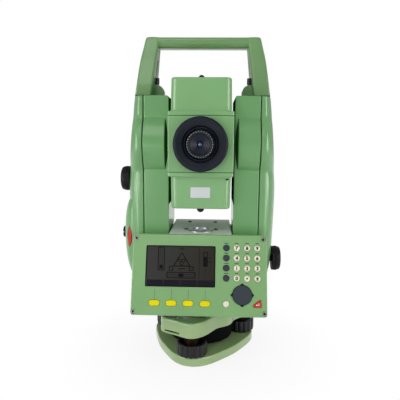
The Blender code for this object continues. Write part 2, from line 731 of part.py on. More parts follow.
# Frame and covers
def make_frame():
    """Casting with the base block and the two standards, bulged round the tilting axis."""
    inner = STANDARD_INNER_X
    outer = STANDARD_OUTER_X
    top = STANDARD_TOP_Z
    right = [
        (outer, ALIDADE_BOTTOM_Z), (outer, top), (inner + STANDARD_CHAMFER, top),
        (inner, top - STANDARD_CHAMFER), (inner, DECK_Z),
    ]
    outline = right + [(-x, z) for x, z in right[::-1]]
    bm = bmesh.new()
    add_prism(bm, outline, "Y", -STANDARD_HALF_Y, STANDARD_HALF_Y)
    frame = piece("alidade_frame", bm, GREEN, bevel=CASE_EDGE, segments=1)
    bm = bmesh.new()
    for low, high in ((inner + STEP, outer - STEP), (STEP - outer, -inner - STEP)):
        add_cylinder(bm, AXIS_BULGE_R, "X", (0.0, TILT_AXIS_Z), low, high, BULGE_SIDES)
    fuse(frame, "axis_bulges", bm)
    bm = bmesh.new()
    add_cylinder(
        bm, BASE_CAVITY_R, "Z", (0.0, 0.0), ALIDADE_BOTTOM_Z - CUT_PAST, BASE_CAVITY_TOP_Z, DRUM_SIDES,
    )
    cut(frame, "base_cavity", bm)
    bm = bmesh.new()
    add_cylinder(
        bm, SPINDLE_R + GAP, "Z", (0.0, 0.0), BASE_CAVITY_TOP_Z - BORE_OVERLAP,
        SPINDLE_BORE_TOP_Z, BORE_SIDES,
    )
    cut(frame, "spindle_bore", bm)
    bm = bmesh.new()
    neck_bottom = SPINDLE_BORE_TOP_Z - BORE_OVERLAP
    add_cylinder(bm, SPINDLE_NECK_R + GAP, "Z", (0.0, 0.0), neck_bottom, SPINDLE_TOP_Z + GAP, BOSS_SIDES)
    for side in (1.0, -1.0):
        hole = (side * HANDLE_SCREW_X, 0.0)
        add_cylinder(
            bm, HANDLE_SHANK_R + GAP, "Z", hole, HANDLE_SHANK_BOTTOM_Z - 1.0, top + CUT_PAST, PIN_SIDES,
        )
    add_cylinder(
        bm, TRUNNION_R + GAP, "X", (0.0, TILT_AXIS_Z), -outer - CUT_PAST, outer + CUT_PAST, KNOB_SIDES,
    )
    add_cylinder(
        bm, DRIVE_SHAFT_R + GAP, "X", VERTICAL_KNOB, -outer - CUT_PAST, -DRIVE_HOLE_X, PIN_SIDES,
    )
    add_cylinder(
        bm, DRIVE_SHAFT_R + GAP, "X", HORIZONTAL_KNOB, DRIVE_HOLE_X, outer + CUT_PAST, PIN_SIDES,
    )
    cut(frame, "frame_bores", bm)


def cover_ring(side, z, width, half_y, start, steps=4):
    """Plan section of a side cover: a narrow flat strip, then a long elliptic corner."""
    strip = min(COVER_STRIP, 0.25 * (width - start))
    flat = start + strip
    arc = []
    for i in range(steps + 1):
        turn = math.radians(90.0 * i / steps)
        x = flat + (width - flat) * math.sin(turn)
        y = half_y - COVER_CORNER_Y * (1.0 - math.cos(turn))
        arc.append((x, y))
    front = [(start, -half_y)] + [(x, -y) for x, y in arc]
    back = arc[::-1] + [(start, half_y)]
    ring = [(side * x, y, z) for x, y in front + back]
    return ring if side > 0.0 else ring[::-1]


def cover_depth(z):
    """Half depth of the cover, which follows the bulge round the tilting axis."""
    reach = AXIS_BULGE_R ** 2 - (z - TILT_AXIS_Z) ** 2
    depth = max(STANDARD_HALF_Y, math.sqrt(max(reach, 0.0)))
    return depth - max(0.0, COVER_FOOT_Z - z) * COVER_FOOT_DRAFT


def make_side_cover(name, side):
    """Shell that closes the outside of a standard."""
    bm = bmesh.new()
    add_loft(bm, [cover_ring(side, z, w, cover_depth(z), COVER_INNER_X) for z, w in COVER_WIDTHS])
    cover = piece(name, bm, GREEN)
    rings = []
    for z in CAVITY_LEVELS:
        width = width_at(COVER_WIDTHS, z) - WALL
        rings.append(cover_ring(side, z, width, cover_depth(z) - WALL, COVER_CAVITY_START, 3))
    bm = bmesh.new()
    add_loft(bm, rings)
    cut(cover, name + "_cavity", bm)
    return cover


def make_covers():
    """Both side covers, with the holes for the drives and the battery door."""
    left = make_side_cover("left_side_cover", -1.0)
    right = make_side_cover("right_side_cover", 1.0)
    bm = bmesh.new()
    add_cylinder(bm, DRIVE_SHAFT_R + DRIVE_PLAY, "X", VERTICAL_KNOB, -FAR_X, -COVER_HOLE_X, PIN_SIDES)
    cut(left, "vertical_drive_hole", bm)
    bm = bmesh.new()
    add_cylinder(bm, DRIVE_SHAFT_R + DRIVE_PLAY, "X", HORIZONTAL_KNOB, COVER_HOLE_X, FAR_X, PIN_SIDES)
    cut(right, "horizontal_drive_hole", bm)
    bm = bmesh.new()
    low = DOOR_WIDTHS[0][0] - GAP
    high = DOOR_WIDTHS[-1][0] + GAP
    reach = DOOR_HALF_Y + GAP
    add_box(bm, (-FAR_X, -reach, low), (-COVER_CAVITY_START, reach, high))
    cut(left, "door_window", bm)


def door_ring(z, width, half_y, start):
    """Plan section of the battery door, a squarish half ellipse."""
    points = []
    for i in range(DOOR_STEPS + 1):
        y = -half_y * math.cos(math.pi * i / DOOR_STEPS)
        bow = (1.0 - (abs(y) / half_y) ** DOOR_POWER) ** (1.0 / DOOR_POWER)
        points.append((-start - (width - start) * bow, y, z))
    return points[::-1]


def make_battery_door():
    """Bulged door of the battery compartment with its red latch and its turning lock."""
    base = DOOR_RIM_X + DOOR_LIP
    rings = []
    for z, width in DOOR_WIDTHS:
        outer = door_ring(z, width, DOOR_HALF_Y, base)
        rings.append(outer + [(-DOOR_RIM_X, -DOOR_HALF_Y, z), (-DOOR_RIM_X, DOOR_HALF_Y, z)])
    bm = bmesh.new()
    add_loft(bm, rings)
    door = piece("battery_door", bm, GREEN, (*DOOR_HINGE, DOOR_MIDDLE_Z))
    rings = []
    low = DOOR_WIDTHS[0][0] + DOOR_WALL
    high = DOOR_WIDTHS[-1][0] - DOOR_WALL
    levels = [low] + [z for z, _ in DOOR_WIDTHS if low < z < high] + [high]
    half_y = DOOR_HALF_Y - DOOR_WALL
    for z in levels:
        inner = door_ring(z, width_at(DOOR_WIDTHS, z) - DOOR_WALL, half_y, DOOR_RIM_X)
        rings.append(inner + [(2.0 - DOOR_RIM_X, -half_y, z), (2.0 - DOOR_RIM_X, half_y, z)])
    bm = bmesh.new()
    add_loft(bm, rings)
    cut(door, "door_cavity", bm)
    bm = bmesh.new()
    pin_end = DOOR_KNOB_X + DOOR_PIN_LENGTH
    add_cylinder(
        bm, DOOR_PIN_HOLE_R, "X", (0.0, DOOR_KNOB_Z), DOOR_KNOB_X - CUT_PAST,
        pin_end + DRIVE_PLAY, PIN_SIDES,
    )
    cut(door, "door_knob_hole", bm)
    bm = bmesh.new()
    add_latch(bm, GAP, *LATCH_SLOT)
    cut(door, "latch_slot", bm)
    bm = bmesh.new()
    add_latch(bm, 0.0, *LATCH_DEPTH)
    piece("battery_latch", bm, RED, LATCH_CENTRE)
    bm = bmesh.new()
    add_box(bm, BATTERY_LOW, BATTERY_HIGH)
    piece("battery", bm, BATTERY_CASE, bevel=CASE_EDGE, segments=1)
    r = DOOR_KNOB_R
    tip = DOOR_KNOB_TIP
    profile = [
        (0.0, tip), (r - 1.0, tip), (r, tip - 1.0), (r, GAP), (DOOR_PIN_R, GAP),
        (DOOR_PIN_R, -DOOR_PIN_LENGTH), (0.0, -DOOR_PIN_LENGTH),
    ]
    turned(
        "battery_lock_knob", profile, BLACK, (DOOR_KNOB_X, 0.0, DOOR_KNOB_Z), (-1.0, 0.0, 0.0), KNOB_SIDES,
    )


def add_latch(bm, grow, low, high):
    """The latch: a tall leaf that faces outward from the front edge of the door."""
    outline = [(v, u) for u, v in leaf(LATCH_LENGTH + 2.0 * grow, LATCH_WIDTH + 2.0 * grow, 6)]
    add_prism(bm, outline, "X", low, high)
    turn = Matrix.Rotation(math.pi + LATCH_TURN, 3, "Z")
    bmesh.ops.rotate(bm, verts=bm.verts, matrix=turn)
    bmesh.ops.translate(bm, verts=bm.verts, vec=Vector(LATCH_CENTRE) * MM)


make_frame()
make_covers()
make_battery_door()


# Deck between the standards
def make_deck():
    """Plate between the standards with the round level in it."""
    bm = bmesh.new()
    add_box(bm, (-DECK_HALF_X, DECK_FRONT_Y, DECK_Z + GAP), (DECK_HALF_X, DECK_BACK_Y, DECK_TOP_Z))
    deck = piece("deck_plate", bm, GREY, bevel=PLATE_EDGE, segments=1)
    bm = bmesh.new()
    add_cylinder(
        bm, DECK_LEVEL_R + GAP, "Z", (0.0, DECK_LEVEL_Y), DECK_Z - CUT_PAST,
        DECK_TOP_Z + CUT_PAST, RING_SIDES,
    )
    cut(deck, "level_hole", bm)
    r = DECK_LEVEL_R
    profile = [(r - inset, z) for inset, z in DECK_LEVEL_RIM]
    profile = [(0.0, profile[0][1])] + profile + [(r, 0.0), (0.0, 0.0)]
    turned(
        "circular_level", profile, GREY, (0.0, DECK_LEVEL_Y, DECK_Z + GAP), (0.0, 0.0, 1.0), BORE_SIDES,
    )


make_deck()

# Keyboard
PANEL_UP = Vector((0.0, math.sin(PANEL_TILT), math.cos(PANEL_TILT)))
PANEL_OUT = Vector((0.0, -math.cos(PANEL_TILT), math.sin(PANEL_TILT)))
PANEL_LEAN = math.pi / 2.0 - PANEL_TILT


def panel_point(x, down, out):
    """A point of the keyboard from its place on the face and its height above it."""
    return Vector(PANEL_TOP) + Vector((x, 0.0, 0.0)) - PANEL_UP * down + PANEL_OUT * out


def lay_on_panel(made, x, down, out):
    """Set an object square to the keyboard face."""
    made.location = panel_point(x, down, out) * MM
    made.rotation_euler = (PANEL_LEAN, 0.0, 0.0)


def pill(width, height, steps, grow):
    """An outline with half-round ends about the origin."""
    reach = (width - height) / 2.0
    return two_circle_hull((-reach, 0.0), (reach, 0.0), height / 2.0 + grow, steps)


def key_outlines():
    """Every key: name, outline maker, place, rise and material."""
    keys = []
    digits = ["7", "8", "9", "4", "5", "6", "1", "2", "3", "0", "point", "sign"]
    for i, label in enumerate(digits):
        place = (DIGIT_COLUMNS[i % 3], KEY_ROWS[i // 3])
        keys.append(("key_" + label, round_key, place, KEY_RISE, CREAM))
    for i, row in enumerate(KEY_ROWS):
        keys.append(("key_fixed_" + str(i + 1), round_key, (FIXED_COLUMN, row), KEY_RISE, SLATE))
    for i, column in enumerate(FUNCTION_COLUMNS):
        keys.append(("key_function_" + str(i + 1), function_key, (column, FUNCTION_ROW), KEY_RISE, YELLOW))
    keys.append(("key_escape", round_key, ESCAPE_PLACE, KEY_RISE, CREAM))
    keys.append(("key_enter", enter_key, ENTER_PLACE, KEY_RISE, RED))
    keys.append(("key_navigation", navigation_key, PAD_PLACE, PAD_RISE, SLATE))
    return keys


def round_key(grow):
    """Outline of a round key."""
    return circle(KEY_R + grow, 10)


def function_key(grow):
    """Outline of a soft key under the display."""
    return pill(*FUNCTION_SIZE, 5, grow)


def enter_key(grow):
    """Outline of the enter key."""
    lean = Matrix.Rotation(ENTER_LEAN, 2)
    points = leaf(ENTER_LENGTH + 2.0 * grow, ENTER_WIDTH + 2.0 * grow, 6)
    return [tuple(lean @ Vector(point)) for point in points]


def navigation_key(grow):
    """Outline of the four-way key."""
    return pointed_round(PAD_R + grow, PAD_TIP_R + grow, 4)


def make_keyboard():
    """Housing, face plate, display and keys."""
    back = -STANDARD_HALF_Y - GAP
    sink = -PANEL_THICK - GAP
    top = panel_point(0.0, 0.0, sink)
    foot = panel_point(0.0, PANEL_HEIGHT, sink)
    outline = [
        (back, HOUSING_FOOT_Z), (HOUSING_FOOT_Y, HOUSING_FOOT_Z), (foot.y, foot.z), (top.y, top.z),
        (top.y + HOUSING_LEDGE, HOUSING_TOP_Z), (back, HOUSING_BACK_Z),
    ]
    half = PANEL_WIDTH / 2.0 - STEP
    bm = bmesh.new()
    add_prism(bm, outline, "X", -half, half)
    housing = piece("keyboard_housing", bm, GREEN, bevel=CASE_EDGE)
    bm = bmesh.new()
    add_box(bm, (-NOTCH_HALF_X, NOTCH_Y[0], DECK_Z), (NOTCH_HALF_X, NOTCH_Y[1], DECK_TOP_Z + CUT_PAST))
    cut(housing, "deck_notch", bm)
    bm = bmesh.new()
    add_box(bm, (-POCKET_HALF_X, -POCKET_V[1], -POCKET_DEPTH), (POCKET_HALF_X, -POCKET_V[0], 2.0))
    pocket = tool("keyboard_pocket", bm)
    lay_on_panel(pocket, 0.0, 0.0, 0.0)
    shape(housing, pocket, "DIFFERENCE")

    bm = bmesh.new()
    face = rounded_box(PANEL_WIDTH / 2.0, -PANEL_HEIGHT, 0.0, PANEL_CORNER, 4)
    add_prism(bm, face, "Z", -PANEL_THICK, 0.0)
    panel = piece("keyboard_panel", bm, GREEN, bevel=PLATE_EDGE, segments=1)
    lay_on_panel(panel, 0.0, 0.0, 0.0)
    bm = bmesh.new()
    centre = (DISPLAY_LEFT + DISPLAY_RIGHT) / 2.0
    half_x = (DISPLAY_RIGHT - DISPLAY_LEFT) / 2.0
    window = rounded_box(half_x, -DISPLAY_BOTTOM, -DISPLAY_TOP, DISPLAY_CORNER_R, 3)
    add_prism(bm, [(x + centre, y) for x, y in window], "Z", -2.0 * CUT_PAST, CUT_PAST)
    for _, maker, place, _, _ in key_outlines():
        hole = [(x + place[0], y - place[1]) for x, y in maker(KEY_GAP)]
        add_prism(bm, hole, "Z", -2.0 * CUT_PAST, CUT_PAST)
    openings = tool("panel_openings", bm)
    lay_on_panel(openings, 0.0, 0.0, 0.0)
    shape(panel, openings, "DIFFERENCE")

    bm = bmesh.new()
    screen = rounded_box(half_x - GAP, -DISPLAY_BOTTOM + GAP, -DISPLAY_TOP - GAP, DISPLAY_CORNER_R - GAP, 3)
    add_prism(bm, [(x + centre, y) for x, y in screen], "Z", GAP - POCKET_DEPTH, -DISPLAY_SINK)
    display = piece("display_module", bm, SCREEN)
    lay_on_panel(display, 0.0, 0.0, 0.0)

    for name, maker, place, rise, skin in key_outlines():
        bm = bmesh.new()
        levels = ((-KEY_ROOT, 0.0), (rise - KEY_EDGE, 0.0), (rise, -KEY_EDGE))
        add_loft(bm, [[(x, y, z) for x, y in maker(grow)] for z, grow in levels])
        key = piece(name, bm, skin)
        lay_on_panel(key, place[0], place[1], 0.0)


make_keyboard()


# Carrying handle
def leg_ring(side, station):
    """A level section of a handle leg."""
    z, inner, outer, depth = station
    middle = side * (inner + outer) / 2.0
    outline = rounded_box((outer - inner) / 2.0, -depth, depth, HANDLE_CORNER_R, 2)
    return [(middle + x, y, z) for x, y in outline]


def grip_ring(x, height, half_z, half_y):
    """An upright section of the grip between the legs."""
    ring = []
    for i in range(GRIP_STEPS):
        angle = 2.0 * math.pi * i / GRIP_STEPS
        c = math.cos(angle)
        s = math.sin(angle)
        y = math.copysign(abs(c) ** (2.0 / GRIP_POWER), c) * half_y
        z = math.copysign(abs(s) ** (2.0 / GRIP_POWER), s) * half_z
        ring.append((x, y, height + z))
    return ring


def make_handle():
    """Carrying handle with a screw boss at each foot."""
    right = [grip_ring(*station) for station in HANDLE_GRIP]
    left = [grip_ring(-x, *rest) for x, *rest in HANDLE_GRIP[:-1]]
    bm = bmesh.new()
    add_loft(bm, right + left[::-1])
    handle = piece("carrying_handle", bm, GREEN)
    bm = bmesh.new()
    for side in (1.0, -1.0):
        add_loft(bm, [leg_ring(side, station) for station in HANDLE_LEG])
    fuse(handle, "handle_legs", bm)
    bm = bmesh.new()
    for side in (1.0, -1.0):
        boss = [(side * x, z) for x, z in HANDLE_BOSS]
        add_prism(bm, boss, "Y", -HANDLE_BOSS_HALF_Y, HANDLE_BOSS_HALF_Y)
    fuse(handle, "handle_bosses", bm)
    bm = bmesh.new()
    for side in (1.0, -1.0):
        spot = (side * HANDLE_SCREW_X, 0.0)
        add_cylinder(
            bm, HANDLE_SCREW_R + HANDLE_SCREW_PLAY, "Z", spot, HANDLE_SCREW_Z[0] - GAP,
            HANDLE_GROOVE_TOP_Z, BOSS_SIDES,
        )
    cut(handle, "screw_grooves", bm)
    bm = bmesh.new()
    for side in (1.0, -1.0):
        spot = (side * HANDLE_SCREW_X, 0.0)
        add_cylinder(
            bm, HANDLE_SHANK_R + GAP, "Z", spot, HANDLE_SHANK_BOTTOM_Z, HANDLE_SCREW_Z[0] + 2.0,
            PIN_SIDES,
        )
    cut(handle, "shank_holes", bm)
    for label, side in (("left", -1.0), ("right", 1.0)):
        low = HANDLE_SCREW_Z[0]
        high = HANDLE_SCREW_Z[1] - low
        r = HANDLE_SCREW_R
        shank = HANDLE_SHANK_BOTTOM_Z - low
        profile = [
            (0.0, high), (r - HANDLE_SCREW_EDGE, high), (r, high - HANDLE_SCREW_EDGE), (r, 0.0),
            (HANDLE_SHANK_R, 0.0),
            (HANDLE_SHANK_R, shank), (0.0, shank),
        ]
        base = (side * HANDLE_SCREW_X, 0.0, low)
        turned("handle_screw_" + label, profile, BLACK, base, (0.0, 0.0, 1.0), PIN_SIDES)


make_handle()


# Telescope
def make_scope_cover(name, flip):
    """Upper or lower telescope cover with its flange and its sight."""
    rings = []
    for height, half_x, front, back, radius in COVER_RINGS:
        outline = rounded_box(half_x, front, back, radius, 2)
        rings.append([(x, y, TILT_AXIS_Z + flip * height) for x, y in outline])
    bm = bmesh.new()
    add_loft(bm, rings)
    cover = piece(name, bm, GREEN, (0.0, 0.0, TILT_AXIS_Z))
    bm = bmesh.new()
    add_cylinder(bm, SIGHT_R, "Y", (0.0, TILT_AXIS_Z + flip * SIGHT_OFFSET_Z), SIGHT_Y[0], SIGHT_Y[1])
    fuse(cover, name + "_sight", bm)


def make_telescope():
    """Telescope with its covers, trunnions, optics and rings."""
    centre = (0.0, 0.0, TILT_AXIS_Z)
    bm = bmesh.new()
    low = (-SCOPE_HALF_X, SCOPE_FRONT_Y, TILT_AXIS_Z - SCOPE_HALF_Z)
    high = (SCOPE_HALF_X, SCOPE_BACK_Y, TILT_AXIS_Z + SCOPE_HALF_Z)
    add_box(bm, low, high)
    body = piece("telescope_body", bm, GREEN, centre, bevel=SCOPE_EDGE, segments=1)
    bm = bmesh.new()
    add_cylinder(
        bm, OPTICAL_BORE_R, "Y", (0.0, TILT_AXIS_Z), SCOPE_FRONT_Y - CUT_PAST,
        SCOPE_BACK_Y + CUT_PAST, RING_SIDES,
    )
    cut(body, "optical_bore", bm)
    bm = bmesh.new()
    for near, far in ((TRUNNION_START - GAP, SCOPE_SIDE_X), (-SCOPE_SIDE_X, GAP - TRUNNION_START)):
        add_cylinder(bm, TRUNNION_R + GAP, "X", (0.0, TILT_AXIS_Z), near, far, KNOB_SIDES)
    cut(body, "trunnion_seats", bm)
    make_scope_cover("telescope_top_cover", 1.0)
    make_scope_cover("telescope_bottom_cover", -1.0)

    r = TRUNNION_R
    end = TRUNNION_LENGTH
    profile = [(0.0, end), (r - PLATE_EDGE, end), (r, end - PLATE_EDGE), (r, 0.0), (0.0, 0.0)]
    turned(
        "left_trunnion", profile, STEEL, (-TRUNNION_START, 0.0, TILT_AXIS_Z), (-1.0, 0.0, 0.0), KNOB_SIDES,
    )
    turned(
        "right_trunnion", profile, STEEL, (TRUNNION_START, 0.0, TILT_AXIS_Z), (1.0, 0.0, 0.0), KNOB_SIDES,
    )
    make_circle("vertical_circle", (-VERTICAL_CIRCLE_X, 0.0, TILT_AXIS_Z), (-1.0, 0.0, 0.0), TRUNNION_R)

    start = SCOPE_BACK_Y + GAP
    end = BARREL_END_Y - start
    r = BARREL_R
    profile = [
        (r - SCOPE_EDGE, end), (r, end - SCOPE_EDGE), (r, 0.0), (BARREL_BORE_R, 0.0),
        (BARREL_BORE_R, end - LENS_SEAT), (LENS_R + GAP, end - LENS_SEAT), (LENS_R + GAP, end),
    ]
    turned("objective_barrel", profile, BLACK, (0.0, start, TILT_AXIS_Z), (0.0, 1.0, 0.0), RING_SIDES)
    lens_base = (0.0, BARREL_END_Y - LENS_SEAT + GAP, TILT_AXIS_Z)
    turned("objective_lens", LENS_PROFILE, GLASS, lens_base, (0.0, 1.0, 0.0), BORE_SIDES)

    depth = FOCUS_RING_Y[0] - FOCUS_RING_Y[1]
    r = FOCUS_RING_R
    profile = [
        (r - FOCUS_EDGE, depth), (r, depth - FOCUS_EDGE), (r, STEP), (r - STEP, 0.0), (FOCUS_BORE_R, 0.0),
        (FOCUS_BORE_R, depth - FOCUS_DISH), (FOCUS_DISH_R, depth - FOCUS_DISH), (FOCUS_FACE_R, depth),
    ]
    turned(
        "focus_ring", profile, BLACK, (0.0, FOCUS_RING_Y[0], TILT_AXIS_Z), (0.0, -1.0, 0.0), DRUM_SIDES,
    )
    depth = EYEPIECE_Y[0] - EYEPIECE_Y[1]
    r = EYEPIECE_R
    cup = [(radius, depth - drop) for radius, drop in EYE_CUP]
    profile = cup + [(r - PLATE_EDGE, depth), (r, depth - PLATE_EDGE), (r, 0.0), (0.0, 0.0)]
    turned("eyepiece", profile, BLACK, (0.0, EYEPIECE_Y[0], TILT_AXIS_Z), (0.0, -1.0, 0.0), BORE_SIDES)


make_telescope()


# Drive knobs
def make_drive_knob(name, place, ends, radius, axis):
    """Knob with a domed end on the shaft of an endless drive."""
    length = abs(ends[1] - ends[0])
    shaft = -(abs(ends[0]) - DRIVE_SHAFT_X)
    dome = [(share * radius, length - drop) for share, drop in DRIVE_DOME]
    profile = dome + [
        (radius, PLATE_EDGE), (radius - PLATE_EDGE, 0.0), (DRIVE_SHAFT_R, 0.0),
        (DRIVE_SHAFT_R, shaft), (0.0, shaft),
    ]
    turned(name, profile, BLACK, (ends[0], *place), axis, BORE_SIDES)


make_drive_knob("vertical_drive_knob", VERTICAL_KNOB, VERTICAL_KNOB_X, VERTICAL_KNOB_R, (-1.0, 0.0, 0.0))
make_drive_knob(
    "horizontal_drive_knob", HORIZONTAL_KNOB, HORIZONTAL_KNOB_X, HORIZONTAL_KNOB_R, (1.0, 0.0, 0.0)
)
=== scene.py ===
"""Looks of a surveying total station, laid out as an add-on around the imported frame.

Shapes are worked out in millimetres in the frame's axes and become metres when a mesh is made.
"""
import math

import bmesh
import bpy
from bpy.props import FloatProperty, FloatVectorProperty, IntProperty, PointerProperty
from mathutils import Matrix, Vector


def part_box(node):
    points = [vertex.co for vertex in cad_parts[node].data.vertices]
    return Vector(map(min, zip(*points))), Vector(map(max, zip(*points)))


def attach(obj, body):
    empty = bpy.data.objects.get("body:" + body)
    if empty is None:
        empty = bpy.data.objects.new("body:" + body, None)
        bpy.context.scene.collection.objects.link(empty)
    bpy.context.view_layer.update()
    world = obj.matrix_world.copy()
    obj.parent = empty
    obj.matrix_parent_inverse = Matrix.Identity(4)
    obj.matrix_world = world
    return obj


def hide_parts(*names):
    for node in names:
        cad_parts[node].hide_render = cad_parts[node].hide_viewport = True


bl_info = {
    "name": "Total station looks",
    "version": (1, 0, 0),
    "blender": (4, 5, 0),
    "location": "View3D > Sidebar > Station",
    "description": "Dresses the packed surveying total station with finished pieces and materials",
    "category": "Object",
}

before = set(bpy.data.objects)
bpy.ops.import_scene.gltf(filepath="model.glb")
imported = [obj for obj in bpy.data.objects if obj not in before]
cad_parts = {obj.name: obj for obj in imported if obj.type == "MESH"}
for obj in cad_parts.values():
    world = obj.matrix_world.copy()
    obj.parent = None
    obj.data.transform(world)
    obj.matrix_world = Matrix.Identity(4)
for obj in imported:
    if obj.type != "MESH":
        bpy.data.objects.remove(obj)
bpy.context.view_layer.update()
MM = 0.001
WELD = 0.0005
ORIGIN = Vector((0.0, 0.0, 0.0))
UP = Vector((0.0, 0.0, 1.0))
RIGHT = Vector((1.0, 0.0, 0.0))
LEFT = Vector((-1.0, 0.0, 0.0))
FAR = Vector((0.0, 1.0, 0.0))
NEAR = Vector((0.0, -1.0, 0.0))
FULL_TURN = 2.0 * math.pi

# Tribrach, in millimetres
TRIBRACH_TURN = math.radians(261.0)
BASE_WAVE = (57.2, 7.4, 1.3)
BODY_WAVE = (49.7, 11.25, 4.54)
FOOT_CIRCLE_R = 52.0
ARM_START = (-9.4, -53.5)
LEVEL_PLACE = (-31.9, -41.4)
LEVEL_R = 8.0
ARM_R = 11.5
ARM_RIM = 7.0
RECESS_INSET = 10.4
RECESS_R = 39.6
HOUSING_R = 37.6
SCREW_ROOM_R = 17.7
LOCK_TURN = TRIBRACH_TURN + math.pi
LOCK_AXIS_Z = 39.5
SLOT_ENDS = (Vector((-38.6, -50.9)), Vector((-21.6, -60.0)))
SLOT_Z = 36.4
TRIPOD_PITCH = 2.31
TRIPOD_TURNS = 5
THREAD_TALL = 11.2
THREAD_R = 7.7
KNOB_R = 16.8
FLUTE_DEPTH = 1.2

# Standards and covers
AXIS_Z = 240.0
STANDARD_HALF_Y = 34.0
BULGE_R = 44.0
BULGE_RIM = [(0.0, 36.2), (35.0, 36.2), (BULGE_R, 39.4), (BULGE_R, 62.5), (0.0, 62.5)]
# Inner faces of the standards beside the telescope, above this height, get painted shade
SHADE_HALF_X = 40.0
SHADE_FROM_Z = 174.0
COVER_START_X = 63.5
COVER_CORNER_Y = 24.0
COVER_STRIP = 4.0
COVER_LEDGE = 0.45
LEDGE_STEP = 4
COVER_WIDTHS = [
    (62.0, 66.2), (67.0, 68.6), (76.0, 72.0), (88.0, 75.6), (102.0, 78.4), (120.0, 80.4), (150.0, 81.6),
    (189.0, 82.4), (212.2, 81.0), (219.0, 80.4), (229.0, 79.5), (240.0, 78.7), (251.0, 78.0),
    (261.0, 77.5), (267.8, 77.1), (280.0, 76.1), (291.0, 74.8),
]
# Drive knobs: foot on the cover, radius and height
VERTICAL_DRIVE = (Vector((-82.9, 0.0, 199.4)), 14.2, 10.9)
HORIZONTAL_DRIVE = (Vector((81.1, -10.0, 109.4)), 14.1, 10.3)
DRIVE_HOLE_R = 4.6

# Battery door
DOOR_HALF_Y = 28.0
DOOR_RIM_X = 70.0
DOOR_POWER = 2.6
DOOR_WIDTHS = [
    (93.0, 81.4), (97.0, 83.4), (104.0, 85.6), (114.0, 87.4), (127.0, 88.6), (140.0, 88.9), (153.0, 88.5),
    (165.0, 87.0), (173.0, 84.8), (177.0, 83.0),
]
LATCH_CENTRE = (-79.9, -24.4, 135.2)
LATCH_TURN = math.radians(42.0)
LATCH_LENGTH = 25.0
LATCH_WIDTH = 7.0
DOOR_KNOB_Z = 136.0

# Keyboard face: its top edge, its lean and its size
PANEL_TOP = Vector((0.0, -61.7, 146.0))
PANEL_TILT = math.radians(18.5)
PANEL_UP = Vector((0.0, math.sin(PANEL_TILT), math.cos(PANEL_TILT)))
PANEL_OUT = Vector((0.0, -math.cos(PANEL_TILT), math.sin(PANEL_TILT)))
PANEL_HALF = 69.5
PANEL_HEIGHT = 82.4
PANEL_THICK = 3.0
DISPLAY = (-55.6, 16.6, 11.3, 53.7)
DISPLAY_SINK = 0.8
FACE_SCREWS = [(-66.2, 4.0), (65.7, 4.0), (-66.7, 79.0), (66.5, 78.8)]
DIGIT_COLUMNS = [38.4, 49.0, 59.5]
FIXED_COLUMN = 27.7
KEY_ROWS = [13.1, 23.4, 33.7, 44.0]
FUNCTION_COLUMNS = [-45.4, -28.1, -10.9, 6.4]
FUNCTION_ROW = 69.9
PAD_PLACE = (44.1, 60.7)
DIGITS = ["7", "8", "9", "4", "5", "6", "1", "2", "3", "0", "point", "sign"]
PRINTS = {"point": ".", "sign": "±"}
ESCAPE_PLACE = (27.8, 69.8)
ENTER_PLACE = (59.4, 69.3)
ARROW_PLACE = (59.4, 69.5)
LEGEND_UP = 4.9
KEY_GAP = 0.3
# Where print starts and ends, in and out of its face, and where an opening does
PRINT_DEPTHS = (-0.1, 0.03)
CUT_DEPTHS = (-9.0, 4.0)
STROKE = 0.8
SOFT_FIELDS = 4
# Picture on the display: frames as low x, top, high x, bottom, then strokes as two ends and a width. The
# first frame, a dark border just inside the window, is painted shade of the sunk window's edge
PICTURE_FRAMES = [
    (DISPLAY[0] + 0.7, DISPLAY[2] + 0.7, DISPLAY[1] - 0.7, DISPLAY[3] - 0.7), (-42.7, 13.3, -36.5, 36.8),
    (-31.1, 33.0, -27.3, 36.8), (-10.1, 33.0, -6.3, 36.8), (-33.3, 38.9, -4.3, 44.5), (4.3, 18.0, 8.1, 32.2),
]
PICTURE_STROKES = [
    (-40.9, 13.3, -40.9, 36.8, 0.35), (-38.3, 13.3, -38.3, 36.8, 0.35), (-39.6, 31.4, -39.6, 35.2, 3.4),
    (-26.8, 32.4, -18.3, 18.6, 1.0), (-18.3, 18.6, -9.8, 32.4, 1.0), (-9.8, 32.4, -26.8, 32.4, 1.0),
    (-22.6, 25.5, -14.0, 25.5, STROKE), (-22.6, 25.5, -18.3, 32.4, STROKE),
    (-14.0, 25.5, -18.3, 32.4, STROKE), (-19.6, 27.6, -17.0, 27.6, 1.4),
    (-20.4, 15.6, -18.3, 14.2, STROKE), (-16.2, 15.6, -18.3, 14.2, STROKE),
    (-21.4, 35.2, -15.2, 35.2, 0.9), (-33.3, 40.8, -4.3, 40.8, 0.35), (-33.3, 42.6, -4.3, 42.6, 0.35),
    (-21.3, 41.8, -16.3, 41.8, 3.4), (-0.2, 12.6, -0.2, 45.4, 0.4), (6.2, 22.5, 6.2, 32.0, 3.4),
    (10.0, 23.5, 11.2, 23.5, 1.2), (10.0, 27.8, 11.2, 27.8, 1.2), (6.2, 35.4, 6.2, 39.6, 0.35),
]

# Carrying handle legs: height, inner x, outer x, half depth
HANDLE_LEG = [
    (291.6, 55.8, 73.5, 24.6), (304.0, 54.4, 71.7, 23.8), (317.0, 52.9, 70.1, 21.2),
    (331.0, 51.2, 68.2, 17.0), (343.0, 49.7, 65.8, 13.0), (352.0, 48.7, 63.9, 10.7),
    (354.6, 48.9, 63.2, 10.1), (355.9, 49.6, 62.2, 9.4), (356.4, 50.8, 60.9, 8.4),
]
# Section of the grip between the legs: y and height
HANDLE_GRIP = [
    (-10.1, 350.6), (-9.4, 356.2), (9.4, 356.2), (10.1, 350.6), (6.4, 344.6), (-6.4, 344.6),
]
HANDLE_BOSS = [(60.0, 292.0), (43.8, 293.0), (43.8, 298.6), (46.2, 303.2), (50.5, 305.4), (60.0, 305.4)]
HANDLE_SCREW_X = 52.1

